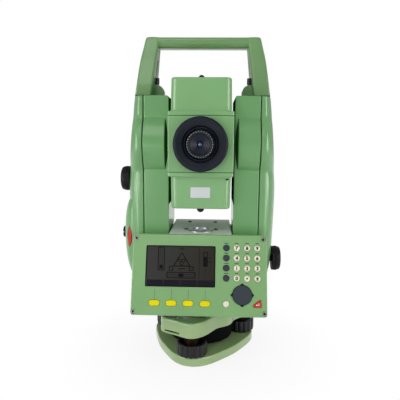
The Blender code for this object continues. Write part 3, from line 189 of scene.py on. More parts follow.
# Telescope covers: distance from the axis, half width, front, back, corner radius
SCOPE_RINGS = [
    (28.8, 33.2, -63.6, 57.6, 1.6), (29.2, 33.6, -64.0, 58.0, 2.0), (32.4, 33.6, -64.0, 58.0, 2.0),
    (33.0, 33.2, -63.6, 57.6, 2.0), (33.3, 32.4, -60.0, 55.0, 6.0), (33.7, 31.7, -58.7, 54.1, 7.4),
    (34.6, 31.5, -58.5, 53.9, 7.8), (65.4, 30.9, -57.8, 52.0, 7.8), (66.4, 30.6, -57.5, 51.7, 7.6),
    (67.0, 30.0, -56.9, 51.1, 7.0), (67.2, 29.2, -56.1, 50.3, 6.2),
]

# Stage, in metres: each lamp's place, width, height, power and whether it lights or only shows as a sheen
WHITE = (1.0, 1.0, 1.0, 1.0)
SKY_POWER = 0.4
FLOOR_GAP = 0.0004
LAMP_AIM = Vector((0.0, 0.0, 0.19))
LAMPS = [
    ("key_softbox", (-0.35, -1.4, 1.3), 0.9, 0.9, 5.2, True),
    ("front_fill", (-0.7, -1.7, 0.08), 0.7, 0.3, 4.6, True),
    ("left_strip", (-1.25, -0.75, 0.3), 0.26, 1.0, 5.6, True),
    ("right_strip", (1.25, -0.75, 0.3), 0.26, 1.0, 6.6, True),
    ("left_panel", (-0.62, -0.62, 0.2), 0.28, 0.6, 3.2, False),
    ("right_panel", (0.64, -0.6, 0.2), 0.32, 0.6, 2.8, False),
    ("back_softbox", (0.3, 1.4, 1.2), 1.0, 1.0, 3.0, True),
]
# Camera: place in metres, and its pan, pitch and roll in degrees
CAMERA_PLACE = (0.015, -0.522, 0.2447)
CAMERA_TURNS = (1.9, 82.35, 0.5)
CAMERA_LENS = 40.5
CAMERA_SENSOR = 36.0


def linear(code):
    """Turn an sRGB hex code into linear red, green and blue."""
    values = [int(code[i:i + 2], 16) / 255.0 for i in (0, 2, 4)]
    return tuple(v / 12.92 if v <= 0.04045 else ((v + 0.055) / 1.055) ** 2.4 for v in values)


def colour(name, description, code):
    """A colour property with an sRGB hex default."""
    shade = linear(code)
    return FloatVectorProperty(name=name, description=description, subtype="COLOR", size=3, default=shade)


def length(name, description, millimetres):
    """A length property whose default is given in millimetres."""
    return FloatProperty(name=name, description=description, unit="LENGTH", default=millimetres * MM)


def number(name, description, many):
    """A property that counts a repeated detail."""
    return IntProperty(name=name, description=description, default=many)


class StationColours(bpy.types.PropertyGroup):
    """Colours of the finishes"""

    paint: colour("Casting paint", "Satin green of the standards and covers", "6FA669")
    face: colour("Keyboard paint", "Yellower green of the keyboard", "80AE72")
    handle: colour("Handle paint", "Deeper green of the carrying handle", "6C955E")
    scope: colour("Telescope paint", "Paler green of the telescope", "7DAF74")
    sage: colour("Tribrach paint", "Yellower green of the tribrach", "A2BC86")
    grip: colour("Grip black", "Moulded knobs and rings", "0F1011")
    deck: colour("Deck grey", "Plate between the standards", "D6E0D6")
    screen: colour("Display", "Unlit liquid crystal face", "312E26")
    cream: colour("Number keys", "Silicone number keys", "EDEAD0")
    slate: colour("Fixed keys", "Dark silicone keys and the four-way pad", "343C44")
    yellow: colour("Soft keys", "Silicone keys under the display", "EADC00")
    red: colour("Red parts", "Enter key and battery latch", "C42A1E")


class StationSizes(bpy.types.PropertyGroup):
    """Sizes and counts of the fine detail"""

    edge: length("Casting edge", "Radius on the edges of the castings", 1.2)
    key_radius: length("Key radius", "Radius of the round keys", 3.2)
    key_rise: length("Key rise", "How far the keys stand above the face", 1.0)
    digit: length("Digit height", "Height of the printed digits", 3.6)
    thread_pitch: length("Foot screw pitch", "Pitch of the thread under the tribrach body", 1.5)
    foot_flutes: number("Foot screw flutes", "Flutes round each foot screw", 16)
    focus_ribs: number("Focus ribs", "Ribs round the focusing ring", 84)
    eyepiece_dots: number("Eyepiece dots", "Dots round the eyepiece", 30)
    drive_ribs: number("Drive ribs", "Ribs round each drive knob", 36)


# Materials
def add(tree, kind, sockets=None, **settings):
    """Add a node with its settings; a socket gets a link or a value."""
    node = tree.nodes.new(kind)
    for name, value in settings.items():
        setattr(node, name, value)
    for key, source in (sockets or {}).items():
        if isinstance(source, bpy.types.NodeSocket):
            tree.links.new(source, node.inputs[key])
        else:
            node.inputs[key].default_value = source
    return node


def per_metre(millimetres):
    """Texture scale at which one feature has a real size."""
    return 1.0 / (millimetres * MM)


def opaque(rgb, share=1.0):
    """A colour socket's value, lighter or darker by a share."""
    return (*[min(1.0, value * share) for value in rgb], 1.0)


def noise(tree, place, size, detail):
    """Noise whose clouds have a real size in millimetres."""
    sockets = {"Vector": place, "Scale": per_metre(size), "Detail": detail}
    return add(tree, "ShaderNodeTexNoise", sockets).outputs[0]


def remap(tree, value, low, high, first, last):
    """Carry one span of values over to another."""
    return add(tree, "ShaderNodeMapRange", {0: value, 1: low, 2: high, 3: first, 4: last}).outputs[0]


def blend(tree, share, first, second, **settings):
    """Mix two colours."""
    sockets = {0: share, 6: first, 7: second}
    return add(tree, "ShaderNodeMix", sockets, data_type="RGBA", **settings).outputs[2]


def combine(tree, operation, first, second):
    """One number from two."""
    return add(tree, "ShaderNodeMath", {0: first, 1: second}, operation=operation).outputs[0]


def bump(tree, height, strength, depth):
    """Fine relief with its depth in millimetres."""
    sockets = {"Strength": strength, "Distance": depth * MM, "Height": height}
    return add(tree, "ShaderNodeBump", sockets).outputs[0]


def fresh(name):
    """An empty material tree with its object coordinates."""
    made = bpy.data.materials.new(name)
    made.use_nodes = True
    made.node_tree.nodes.clear()
    return made.node_tree, add(made.node_tree, "ShaderNodeTexCoord").outputs["Object"]


def close(tree, sockets):
    """End a material in a Principled shader."""
    shader = add(tree, "ShaderNodeBsdfPrincipled", sockets)
    add(tree, "ShaderNodeOutputMaterial", {"Surface": shader.outputs["BSDF"]})


def sprayed_paint(name, rgb):
    """Two-pack satin paint sprayed on castings: faint clouds, a fine peel and paler rubbed edges."""
    tree, place = fresh(name)
    scuff = noise(tree, place, 6.0, 6.0)
    tone = blend(tree, noise(tree, place, 34.0, 4.0), opaque(rgb, 0.91), opaque(rgb, 1.09))
    # Rubbed edges: the rounded normal departs from the true one there
    bend = add(tree, "ShaderNodeBevel", {"Radius": 0.7 * MM}, samples=4).outputs[0]
    face = add(tree, "ShaderNodeNewGeometry").outputs["Normal"]
    same = add(tree, "ShaderNodeVectorMath", {0: bend, 1: face}, operation="DOT_PRODUCT").outputs["Value"]
    edge = remap(tree, same, 0.99, 0.86, 0.0, 1.0)
    worn = combine(tree, "MULTIPLY", edge, remap(tree, scuff, 0.46, 0.62, 0.1, 0.6))
    pale = opaque([0.5 * value + 0.34 for value in rgb])
    close(tree, {
        "Base Color": blend(tree, worn, tone, pale), "Roughness": remap(tree, scuff, 0.3, 0.7, 0.3, 0.44),
        "Normal": bump(tree, noise(tree, place, 1.1, 2.0), 0.16, 0.06),
        "Specular IOR Level": 0.3, "Coat Weight": 0.6, "Coat Roughness": 0.12,
    })


def moulded(name, rgb, rough, grain, depth=0.5, tone=0.1, shine=0.35):
    """Moulded plastic or rubber: a spark-eroded grain in the mould leaves a fine even texture."""
    tree, place = fresh(name)
    cloud = noise(tree, place, 9.0, 3.0)
    close(tree, {
        "Base Color": blend(tree, cloud, opaque(rgb, 1.0 - tone), opaque(rgb, 1.0 + tone)),
        "Roughness": remap(tree, cloud, 0.3, 0.7, rough - 0.07, rough + 0.07),
        "Normal": bump(tree, noise(tree, place, grain, 1.0), depth, 0.05), "Specular IOR Level": shine,
    })


def worked_metal(name, rgb, rough, stretch, grain):
    """Turned or brushed metal: fine scratches drawn long in one direction."""
    tree, place = fresh(name)
    drawn = add(tree, "ShaderNodeMapping", {"Vector": place, "Scale": stretch}).outputs[0]
    lines = noise(tree, drawn, grain, 2.0)
    close(tree, {
        "Base Color": blend(tree, noise(tree, place, 16.0, 3.0), opaque(rgb, 0.84), opaque(rgb, 1.1)),
        "Metallic": 1.0, "Roughness": remap(tree, lines, 0.3, 0.7, rough - 0.1, rough + 0.1),
        "Normal": bump(tree, lines, 0.2, 0.02),
    })


def clear_glass(name, rgb, coat):
    """Polished optical glass with a thin coloured coating and a trace of dust."""
    tree, place = fresh(name)
    gloss = remap(tree, noise(tree, place, 0.8, 5.0), 0.5, 0.75, 0.02, 0.12)
    close(tree, {
        "Base Color": opaque(rgb), "Roughness": gloss, "IOR": 1.52, "Transmission Weight": 0.85,
        "Coat Weight": coat, "Coat Roughness": 0.03, "Coat Tint": opaque((0.75, 0.85, 1.0)),
    })


def crystal_face(name, rgb):
    """Unlit display behind a window with little shine: browner to the right, a fine pixel grid over it."""
    tree, place = fresh(name)
    across = add(tree, "ShaderNodeSeparateXYZ", {0: place}).outputs[0]
    slide = remap(tree, across, DISPLAY[0] * MM, DISPLAY[1] * MM, 0.0, 1.0)
    tint = blend(tree, slide, opaque(linear("3C3D3C")), opaque(rgb))
    # Pixels of 0.5 mm, larger than real ones so that they show
    grid = add(tree, "ShaderNodeTexChecker", {"Vector": place, "Scale": per_metre(0.5)}).outputs["Fac"]
    base = blend(tree, 1.0, tint, remap(tree, grid, 0.0, 1.0, 0.94, 1.0), blend_type="MULTIPLY")
    close(tree, {"Base Color": base, "Roughness": 0.3, "Specular IOR Level": 0.07})


def make_finishes(colours):
    """Every finish of the instrument, by its plain name."""
    for name, rgb in (
        ("satin", colours.paint), ("sage", colours.sage), ("face", colours.face), ("scope", colours.scope),
        ("handle", colours.handle),
    ):
        sprayed_paint(name + "_green_paint", rgb)
    # Dark dull green: painted shade for the inner faces beside the telescope
    moulded("dull_green_paint", linear("2C5229"), 0.8, 0.8, 0.3, shine=0.0)
    moulded("grained_black_nylon", colours.grip, 0.5, 0.5, shine=0.22)
    moulded("fluted_black_nylon", linear("0E0F11"), 0.34, 0.5, 0.3, shine=0.34)
    moulded("soft_black_rubber", linear("0F1112"), 0.6, 0.7, 0.7, shine=0.2)
    moulded("matt_black_anodising", linear("0E1521"), 0.46, 0.4, 0.25, shine=0.22)
    moulded("cream_silicone", colours.cream, 0.5, 0.6, 0.3, 0.04)
    moulded("slate_silicone", colours.slate, 0.52, 0.6, 0.3, 0.06, 0.2)
    moulded("yellow_silicone", colours.yellow, 0.45, 0.6, 0.3, 0.05, 0.15)
    moulded("red_abs", colours.red, 0.4, 0.6, 0.3, 0.07)
    moulded("dark_print_ink", linear("0C0E10"), 0.6, 0.3, 0.2, shine=0.1)
    moulded("display_ink", linear("121012"), 0.5, 0.3, 0.1, 0.05, 0.05)
    moulded("green_engraving", linear("3C5A3A"), 0.6, 0.4, 0.2, shine=0.1)
    moulded("white_print_ink", linear("E4E4DC"), 0.55, 0.3, 0.2, 0.03)
    moulded("soft_key_bar", linear("191722"), 0.4, 0.3, 0.1, 0.05, 0.08)
    moulded("level_spirit", linear("B9C07A"), 0.12, 2.0, 0.05, 0.05)
    moulded("battery_abs", linear("3A3C3E"), 0.5, 0.5)
    worked_metal("turned_steel", linear("B8BABB"), 0.3, (1.0, 1.0, 12.0), 2.0)
    worked_metal("satin_aluminium", linear("C4C8C6"), 0.36, (1.0, 14.0, 14.0), 3.0)
    moulded("silver_label", linear("D2D6D8"), 0.4, 0.4, 0.1, 0.03)
    moulded("matt_black_casting", linear("050608"), 0.7, 0.6, 0.3, shine=0.05)
    moulded("deck_grey_paint", colours.deck, 0.45, 0.8, 0.3, 0.05)
    worked_metal("oiled_brass", linear("2E231A"), 0.4, (1.0, 1.0, 10.0), 1.5)
    worked_metal("zinc_screw", linear("949A92"), 0.45, (8.0, 8.0, 1.0), 1.0)
    worked_metal("black_oxide_screw", linear("3C3E40"), 0.42, (8.0, 8.0, 1.0), 1.0)
    clear_glass("coated_lens_glass", linear("8FA6C8"), 1.0)
    clear_glass("level_glass", linear("F2F6EE"), 0.4)
    crystal_face("liquid_crystal_face", colours.screen)


def finish(name):
    """A finish that is already made."""
    return bpy.data.materials[name]


# Outlines
def polar(radius, turn):
    """A point of the plan from its radius and angle."""
    return (radius * math.cos(turn), radius * math.sin(turn))


def circle(radius, steps, centre=(0.0, 0.0)):
    """Points of a circle."""
    points = [polar(radius, 2.0 * math.pi * i / steps) for i in range(steps)]
    return [(centre[0] + x, centre[1] + y) for x, y in points]


def eased(points, radius, steps=5, closed=True):
    """Round each corner of an outline, or of an open profile, with a short curve."""
    last = len(points) - 1
    done = []
    for i, point in enumerate(points):
        if not closed and i in (0, last):
            done.append(tuple(point))
            continue
        here = Vector(point)
        before = Vector(points[i - 1]) - here
        after = Vector(points[(i + 1) % len(points)]) - here
        reach = min(radius, 0.45 * before.length, 0.45 * after.length)
        start = here + before.normalized() * reach
        end = here + after.normalized() * reach
        for k in range(steps + 1):
            t = k / steps
            done.append(tuple(start * (1.0 - t) ** 2 + here * 2.0 * t * (1.0 - t) + end * t * t))
    return done


def box_outline(low_x, high_x, low_y, high_y, radius, steps=6):
    """A rectangle with round corners."""
    return eased([(high_x, low_y), (high_x, high_y), (low_x, high_y), (low_x, low_y)], radius, steps)


def pill(width, height, grow, steps=14):
    """An outline with half-round ends about the origin."""
    reach = (width - height) / 2.0
    points = []
    for side in (1.0, -1.0):
        for i in range(steps + 1):
            x, y = polar(height / 2.0 + grow, math.pi * i / steps - math.pi / 2.0)
            points.append((side * (reach + x), side * y))
    return points


def leaf(tall, wide, steps=14):
    """Two equal arcs that meet in points on the x axis."""
    bow = wide / 2.0
    radius = (bow * bow + tall * tall / 4.0) / (2.0 * bow)
    half = math.asin(tall / 2.0 / radius)
    points = []
    for side in (1.0, -1.0):
        for i in range(steps):
            turn = half - 2.0 * half * i / steps
            points.append((side * radius * math.sin(turn), side * (radius * math.cos(turn) - radius + bow)))
    return points


def smooth_read(table, at):
    """Read the columns of a table at a height with an even curve through its rows."""
    rows = [Vector(row) for row in table]
    spot = max(1, next((i for i, row in enumerate(rows) if row[0] >= at), len(rows) - 1))
    low, high = rows[spot - 1], rows[spot]
    before, after = rows[max(spot - 2, 0)], rows[min(spot + 1, len(rows) - 1)]
    span = high[0] - low[0]
    t = min(1.0, max(0.0, (at - low[0]) / span))
    leave = (high - before) * (span / max(high[0] - before[0], WELD))
    arrive = (after - low) * (span / max(after[0] - low[0], WELD))
    value = low * (2.0 * t ** 3 - 3.0 * t ** 2 + 1.0) + leave * (t ** 3 - 2.0 * t ** 2 + t)
    value = value + high * (3.0 * t ** 2 - 2.0 * t ** 3) + arrive * (t ** 3 - t ** 2)
    return list(value)[1:]


def soft_max(first, second, blend):
    """The larger of two values, eased where they meet."""
    overlap = max(0.0, blend - abs(first - second)) / blend
    return max(first, second) + overlap * overlap * blend / 4.0


def steps_between(low, high, step):
    """Even heights between two ends."""
    count = max(1, round((high - low) / step))
    return [low + (high - low) * i / count for i in range(count + 1)]


# Solids
def loft(rings, loop=False, capped=True, bm=None):
    """Skin a row of equal rings; a loop joins the last ring to the first."""
    bm = bmesh.new() if bm is None else bm
    rows = [[bm.verts.new(point) for point in ring] for ring in rings]
    count = len(rows[0])
    pairs = list(zip(rows, rows[1:]))
    if loop:
        pairs.append((rows[-1], rows[0]))
    for low, high in pairs:
        for i in range(count):
            bm.faces.new((low[i], low[(i + 1) % count], high[(i + 1) % count], high[i]))
    if capped and not loop:
        bm.faces.new(rows[0][::-1])
        bm.faces.new(rows[-1])
    return bm


def lathe(profile, base, axis, steps=96, bm=None):
    """Turn (radius, height) points about an axis; a profile that leaves the axis alone closes on itself."""
    turn = UP.rotation_difference(axis).to_matrix()
    rings = []
    for radius, height in profile:
        rings.append([Vector(base) + turn @ Vector((x, y, height)) for x, y in circle(radius, steps)])
    bm = loft(rings, loop=profile[0][0] > 0.0, capped=False, bm=bm)
    bmesh.ops.remove_doubles(bm, verts=bm.verts, dist=WELD)
    return bm


def rod(radius, low, high, base, axis, steps=32, bm=None):
    """A plain cylinder between two heights on an axis."""
    return lathe([(0.0, low), (radius, low), (radius, high), (0.0, high)], base, axis, steps, bm)


def prism(outline, axis, low, high, bm=None):
    """Extrude an outline along x, y or z."""
    order = {"X": (2, 0, 1), "Y": (0, 2, 1), "Z": (0, 1, 2)}[axis]
    rings = []
    for w in (low, high):
        rings.append([[(u, v, w)[i] for i in order] for u, v in outline])
    return loft(rings, bm=bm)


def block(low, high, bm=None):
    """A box between two corners."""
    outline = [(low[0], low[1]), (high[0], low[1]), (high[0], high[1]), (low[0], high[1])]
    return prism(outline, "Z", low[2], high[2], bm)


def soften(bm, width, segments=3, limit=35.0):
    """Round the sharp edges of a solid."""
    bmesh.ops.recalc_face_normals(bm, faces=bm.faces)
    sharp = [edge for edge in bm.edges if edge.is_manifold and edge.calc_face_angle() > math.radians(limit)]
    bmesh.ops.bevel(
        bm, geom=sharp, offset=width, offset_type="OFFSET", segments=segments, profile=0.5, affect="EDGES",
        clamp_overlap=True,
    )
    return bm


def moved(bm, matrix):
    """Carry a whole solid by a matrix."""
    bmesh.ops.transform(bm, verts=bm.verts, matrix=matrix)
    return bm


def solid(name, bm, *skins):
    """Turn a bmesh in millimetres into an object in metres with its faces outward."""
    bmesh.ops.remove_doubles(bm, verts=bm.verts, dist=WELD)
    bmesh.ops.recalc_face_normals(bm, faces=bm.faces)
    bmesh.ops.scale(bm, vec=(MM, MM, MM), verts=bm.verts)
    mesh = bpy.data.meshes.new(name)
    bm.to_mesh(mesh)
    bm.free()
    for skin in skins:
        mesh.materials.append(finish(skin))
    made = bpy.data.objects.new(name, mesh)
    bpy.context.scene.collection.objects.link(made)
    return made


def keep_result(made):
    """Swap an object's modifiers for the mesh that they make."""
    bpy.context.view_layer.update()
    graph = bpy.context.evaluated_depsgraph_get()
    result = bpy.data.meshes.new_from_object(made.evaluated_get(graph))
    made.modifiers.clear()
    made.data = result


def carve(made, bm, operation="DIFFERENCE"):
    """Cut, or join, a solid given in millimetres."""
    other = solid(made.name + "_tool", bm)
    step = made.modifiers.new("carve", "BOOLEAN")
    step.operation = operation
    step.solver = "EXACT"
    step.object = other
    keep_result(made)
    bpy.data.objects.remove(other)
    if not made.data.polygons:
        raise RuntimeError("nothing is left of " + made.name)


def hang(made, body, slot, *stands_for, crease=32.0):
    """Shade a finished piece and let it ride on its body."""
    made.data.shade_smooth()
    made.data.set_sharp_from_angle(angle=math.radians(crease))
    even = made.modifiers.new("even_shading", "WEIGHTED_NORMAL")
    even.keep_sharp = True
    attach(made, body)
    if stands_for:
        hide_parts(*stands_for)
    return made


def piece(name, bm, skin, body, slot, *stands_for):
    """A finished piece straight from its solid."""
    return hang(solid(name, bm, skin), body, slot, *stands_for)


def turned(name, profile, base, axis, skin, body, slot, *stands_for, steps=96, ease=0.6):
    """A turned piece with eased corners."""
    outline = eased(profile, ease, 4, closed=profile[0][0] > 0.0)
    return piece(name, lathe(outline, base, axis, steps), skin, body, slot, *stands_for)


# Geometry node trees
def new_tree(name, **kinds):
    """A geometry tree with named inputs and one output."""
    tree = bpy.data.node_groups.new(name, "GeometryNodeTree")
    for label, kind in kinds.items():
        tree.interface.new_socket(name=label, in_out="INPUT", socket_type="NodeSocket" + kind)
    tree.interface.new_socket(name="Geometry", in_out="OUTPUT", socket_type="NodeSocketGeometry")
    return tree, add(tree, "NodeGroupInput").outputs


def end_tree(tree, geometry, skin):
    """Realize the copies, set the material and end the tree."""
    real = add(tree, "GeometryNodeRealizeInstances", {"Geometry": geometry})
    coat = add(tree, "GeometryNodeSetMaterial", {"Geometry": real.outputs[0], "Material": skin})
    add(tree, "NodeGroupOutput", {"Geometry": coat.outputs[0]})
    return tree


def bead_ring_tree():
    """Equal beads in a ring about the z axis."""
    tree, given = new_tree("beads_in_a_ring", Count="Int", Radius="Float", Bead="Vector", Skin="Material")
    ring = add(tree, "GeometryNodeMeshCircle", {"Vertices": given["Count"], "Radius": given["Radius"]})
    bead = add(tree, "GeometryNodeMeshUVSphere", {"Segments": 8, "Rings": 6, "Radius": 1.0})
    place = add(tree, "GeometryNodeInputPosition")
    facing = add(tree, "FunctionNodeAlignRotationToVector", {"Vector": place.outputs[0]}, axis="X")
    copies = add(tree, "GeometryNodeInstanceOnPoints", {
        "Points": ring.outputs["Mesh"], "Instance": bead.outputs["Mesh"], "Rotation": facing.outputs[0],
        "Scale": given["Bead"],
    })
    return end_tree(tree, copies.outputs[0], given["Skin"])


def head_tree():
    """One screw head on every point of a mesh."""
    kinds = {"Places": "Geometry", "Head": "Object", "Turn": "Rotation", "Skin": "Material"}
    tree, given = new_tree("heads_on_points", **kinds)
    head = add(tree, "GeometryNodeObjectInfo", {"Object": given["Head"], "As Instance": True})
    copies = add(tree, "GeometryNodeInstanceOnPoints", {
        "Points": given["Places"], "Instance": head.outputs["Geometry"], "Rotation": given["Turn"],
    })
    return end_tree(tree, copies.outputs[0], given["Skin"])


def thread_tree():
    """A screw thread: a small round section along a spiral."""
    sizes = dict.fromkeys(("Turns", "Radius", "Height", "Crest"), "Float")
    tree, given = new_tree("screw_thread", **sizes, Skin="Material")
    path = add(tree, "GeometryNodeCurveSpiral", {
        "Resolution": 28, "Rotations": given["Turns"], "Start Radius": given["Radius"],
        "End Radius": given["Radius"], "Height": given["Height"],
    })
    section = add(tree, "GeometryNodeCurvePrimitiveCircle", {"Resolution": 6, "Radius": given["Crest"]})
    swept = add(tree, "GeometryNodeCurveToMesh", {
        "Curve": path.outputs[0], "Profile Curve": section.outputs[0], "Fill Caps": True,
    })
    return end_tree(tree, swept.outputs[0], given["Skin"])


def grow(name, tree, points=(), **values):
    """Run a tree with its named inputs and keep the plain mesh; lengths are in metres."""
    mesh = bpy.data.meshes.new(name)
    mesh.from_pydata([Vector(point) * MM for point in points], [], [])
    made = bpy.data.objects.new(name, mesh)
    bpy.context.scene.collection.objects.link(made)
    step = made.modifiers.new("nodes", "NODES")
    step.node_group = tree
    for item in tree.interface.items_tree:
        if item.in_out == "INPUT" and item.name in values:
            step[item.identifier] = values[item.name]
    keep_result(made)
    if not made.data.polygons:
        raise RuntimeError("no geometry grew for " + name)
    return made


def bead_ring(name, count, radius, bead, base, axis, skin, body):
    """A ring of beads about an axis, with sizes in millimetres along radius, ring and axis."""
    tree = bpy.data.node_groups.get("beads_in_a_ring") or bead_ring_tree()
    size = tuple(value * MM for value in bead)
    made = grow(name, tree, Count=count, Radius=radius * MM, Bead=size, Skin=finish(skin))
    turn = UP.rotation_difference(axis).to_matrix().to_4x4()
    made.data.transform(Matrix.Translation(Vector(base) * MM) @ turn)
    return hang(made, body, "black_plastic")


def screw_heads(name, points, turn, radius, body, skin="black_oxide_screw"):
    """Socket screws on a row of points, facing one way."""
    tree = bpy.data.node_groups.get("heads_on_points") or head_tree()
    profile = [
        (0.0, -0.2), (0.45 * radius, -0.2), (0.5 * radius, 0.45), (0.85 * radius, 0.5), (radius, 0.2),
        (radius, -0.6), (0.0, -0.6),
    ]
    head = solid("screw_head", lathe(eased(profile, 0.15, 3, closed=False), ORIGIN, UP, 20), skin)
    made = grow(name, tree, points, Head=head, Turn=turn, Skin=finish(skin))
    bpy.data.objects.remove(head)
    return hang(made, body, "black_plastic")


# Tribrach
def wave_radius(wave, turn):
    """Radius of a three-lobed outline at an angle from its first lobe."""
    return sum(size * math.cos(3.0 * k * turn) for k, size in enumerate(wave))


FOOT_PLACES = [polar(FOOT_CIRCLE_R, TRIBRACH_TURN + FULL_TURN * i / 3.0) for i in range(3)]
PLAN_STEPS = 192
PLAN_TURNS = [FULL_TURN * i / PLAN_STEPS for i in range(PLAN_STEPS)]


def inside_arm(point, half):
    """Whether a point of the plan is in the arm from the front screw to the level."""
    first = Vector(ARM_START)
    along = Vector(LEVEL_PLACE) - first
    share = min(1.0, max(0.0, (point - first).dot(along) / along.length_squared))
    return (point - first - along * share).length <= half


def arm_radius(turn, half):
    """Distance from the axis to the outside of the arm along a ray, or zero where it misses."""
    ray = Vector(polar(1.0, turn))
    hits = [reach for reach in range(30, 72) if inside_arm(ray * reach, half)]
    if not hits:
        return 0.0
    low, high = hits[-1], hits[-1] + 1.0
    for _ in range(16):
        middle = (low + high) / 2.0
        if inside_arm(ray * middle, half):
            low = middle
        else:
            high = middle
    return low


def screw_room(turn):
    """Distance from the axis to the clearance round the nearest foot screw along a ray."""
    third = 2.0 * math.pi / 3.0
    off = (turn - TRIBRACH_TURN + third / 2.0) % third - third / 2.0
    across = FOOT_CIRCLE_R * math.sin(off)
    if abs(across) >= SCREW_ROOM_R:
        return FOOT_CIRCLE_R
    return FOOT_CIRCLE_R * math.cos(off) - math.sqrt(SCREW_ROOM_R ** 2 - across ** 2)


def plan_rings(rows, outline=None):
    """Level rings from radius and height, or from inset and height where an outline is given."""
    rings = []
    for size, z in rows:
        radii = [radius - size for radius in outline] if outline else [size] * PLAN_STEPS
        rings.append([(*polar(radius, turn), z) for radius, turn in zip(radii, PLAN_TURNS)])
    return rings


def make_base_plate():
    """Foot plate with a rounded rim, a threaded tripod hole and sockets for the screws."""
    rim = [wave_radius(BASE_WAVE, turn - TRIBRACH_TURN) for turn in PLAN_TURNS]
    edge = [
        (6.5, 0.0), (5.0, 0.0), (4.7, 0.3), (4.6, 1.1), (1.4, 1.2), (0.5, 1.5), (0.0, 2.4), (0.0, 9.7),
        (0.25, 10.4), (0.8, 10.9), (1.5, 11.0), (3.0, 10.9), (6.0, 10.7),
    ]
    boss = [(18.0, 10.7), (16.4, 10.8), (16.0, 11.2), (16.0, 12.3), (15.4, 13.0), (9.0, 13.0)]
    rings = plan_rings([(8.8, 0.0), (28.0, 0.0)]) + plan_rings(edge, rim) + plan_rings(boss)
    for i in range(TRIPOD_TURNS):
        z = 12.4 - i * TRIPOD_PITCH
        rings += plan_rings([(8.0, z), (7.1, z - 0.5 * TRIPOD_PITCH)])
    made = solid("base_plate", loft(rings, loop=True), "sage_green_paint")
    bm = bmesh.new()
    for place in FOOT_PLACES:
        rod(5.6, 9.8, 14.0, (*place, 0.0), UP, 40, bm)
    carve(made, bm)
    hang(made, "tribrach", "tribrach_green", "tribrach_base_plate")


def make_tribrach_body():
    """Three-armed body: a rim round a sunk floor, a seat for the level and a slot in the front wall."""
    outline = []
    inner = []
    for turn in PLAN_TURNS:
        wave = wave_radius(BODY_WAVE, turn - TRIBRACH_TURN)
        outline.append(soft_max(wave, arm_radius(turn, ARM_R), 4.0))
        floor = soft_max(wave - RECESS_INSET, arm_radius(turn, ARM_R - ARM_RIM), 4.0)
        inner.append(max(floor, RECESS_R))
    wall = [
        (2.2, 33.0), (1.0, 33.0), (0.3, 33.4), (0.0, 34.2), (0.0, 47.4), (0.25, 48.6), (0.7, 49.4),
        (1.3, 49.9),
    ]
    lip = [(-0.9, 50.0), (-0.4, 49.6), (-0.1, 48.8), (0.0, 46.6), (0.5, 46.05), (1.0, 46.0)]
    rings = plan_rings([(16.6, 33.0), (30.0, 33.0)]) + plan_rings(wall, outline) + plan_rings(lip, inner)
    rings += plan_rings([(38.4, 46.0), (16.8, 46.0), (16.0, 45.2), (16.0, 33.8)])
    made = solid("tribrach_upper_body", loft(rings, loop=True), "sage_green_paint")
    # The slot follows the flat wall between the front screw and the level
    first, second = SLOT_ENDS
    half = (second - first).length / 2.0
    lean = math.atan2(second.y - first.y, second.x - first.x)
    place = Matrix.Translation((*((first + second) / 2.0), SLOT_Z)) @ Matrix.Rotation(lean, 4, "Z")
    carve(made, moved(block((-half, -4.0, -0.95), (half, 4.0, 0.95)), place))
    carve(made, rod(LEVEL_R + 0.2, 37.8, 52.0, (*LEVEL_PLACE, 0.0), UP, 64))
    hang(made, "tribrach", "tribrach_green", "tribrach_body")
    # A black plate behind the slot is painted shade, so the inside of the slot reads dark
    backing = moved(block((-half - 1.0, 1.6, -1.4), (half + 1.0, 4.6, 1.4)), place)
    piece("wall_slot_backing", backing, "matt_black_casting", "tribrach", "black_plastic")


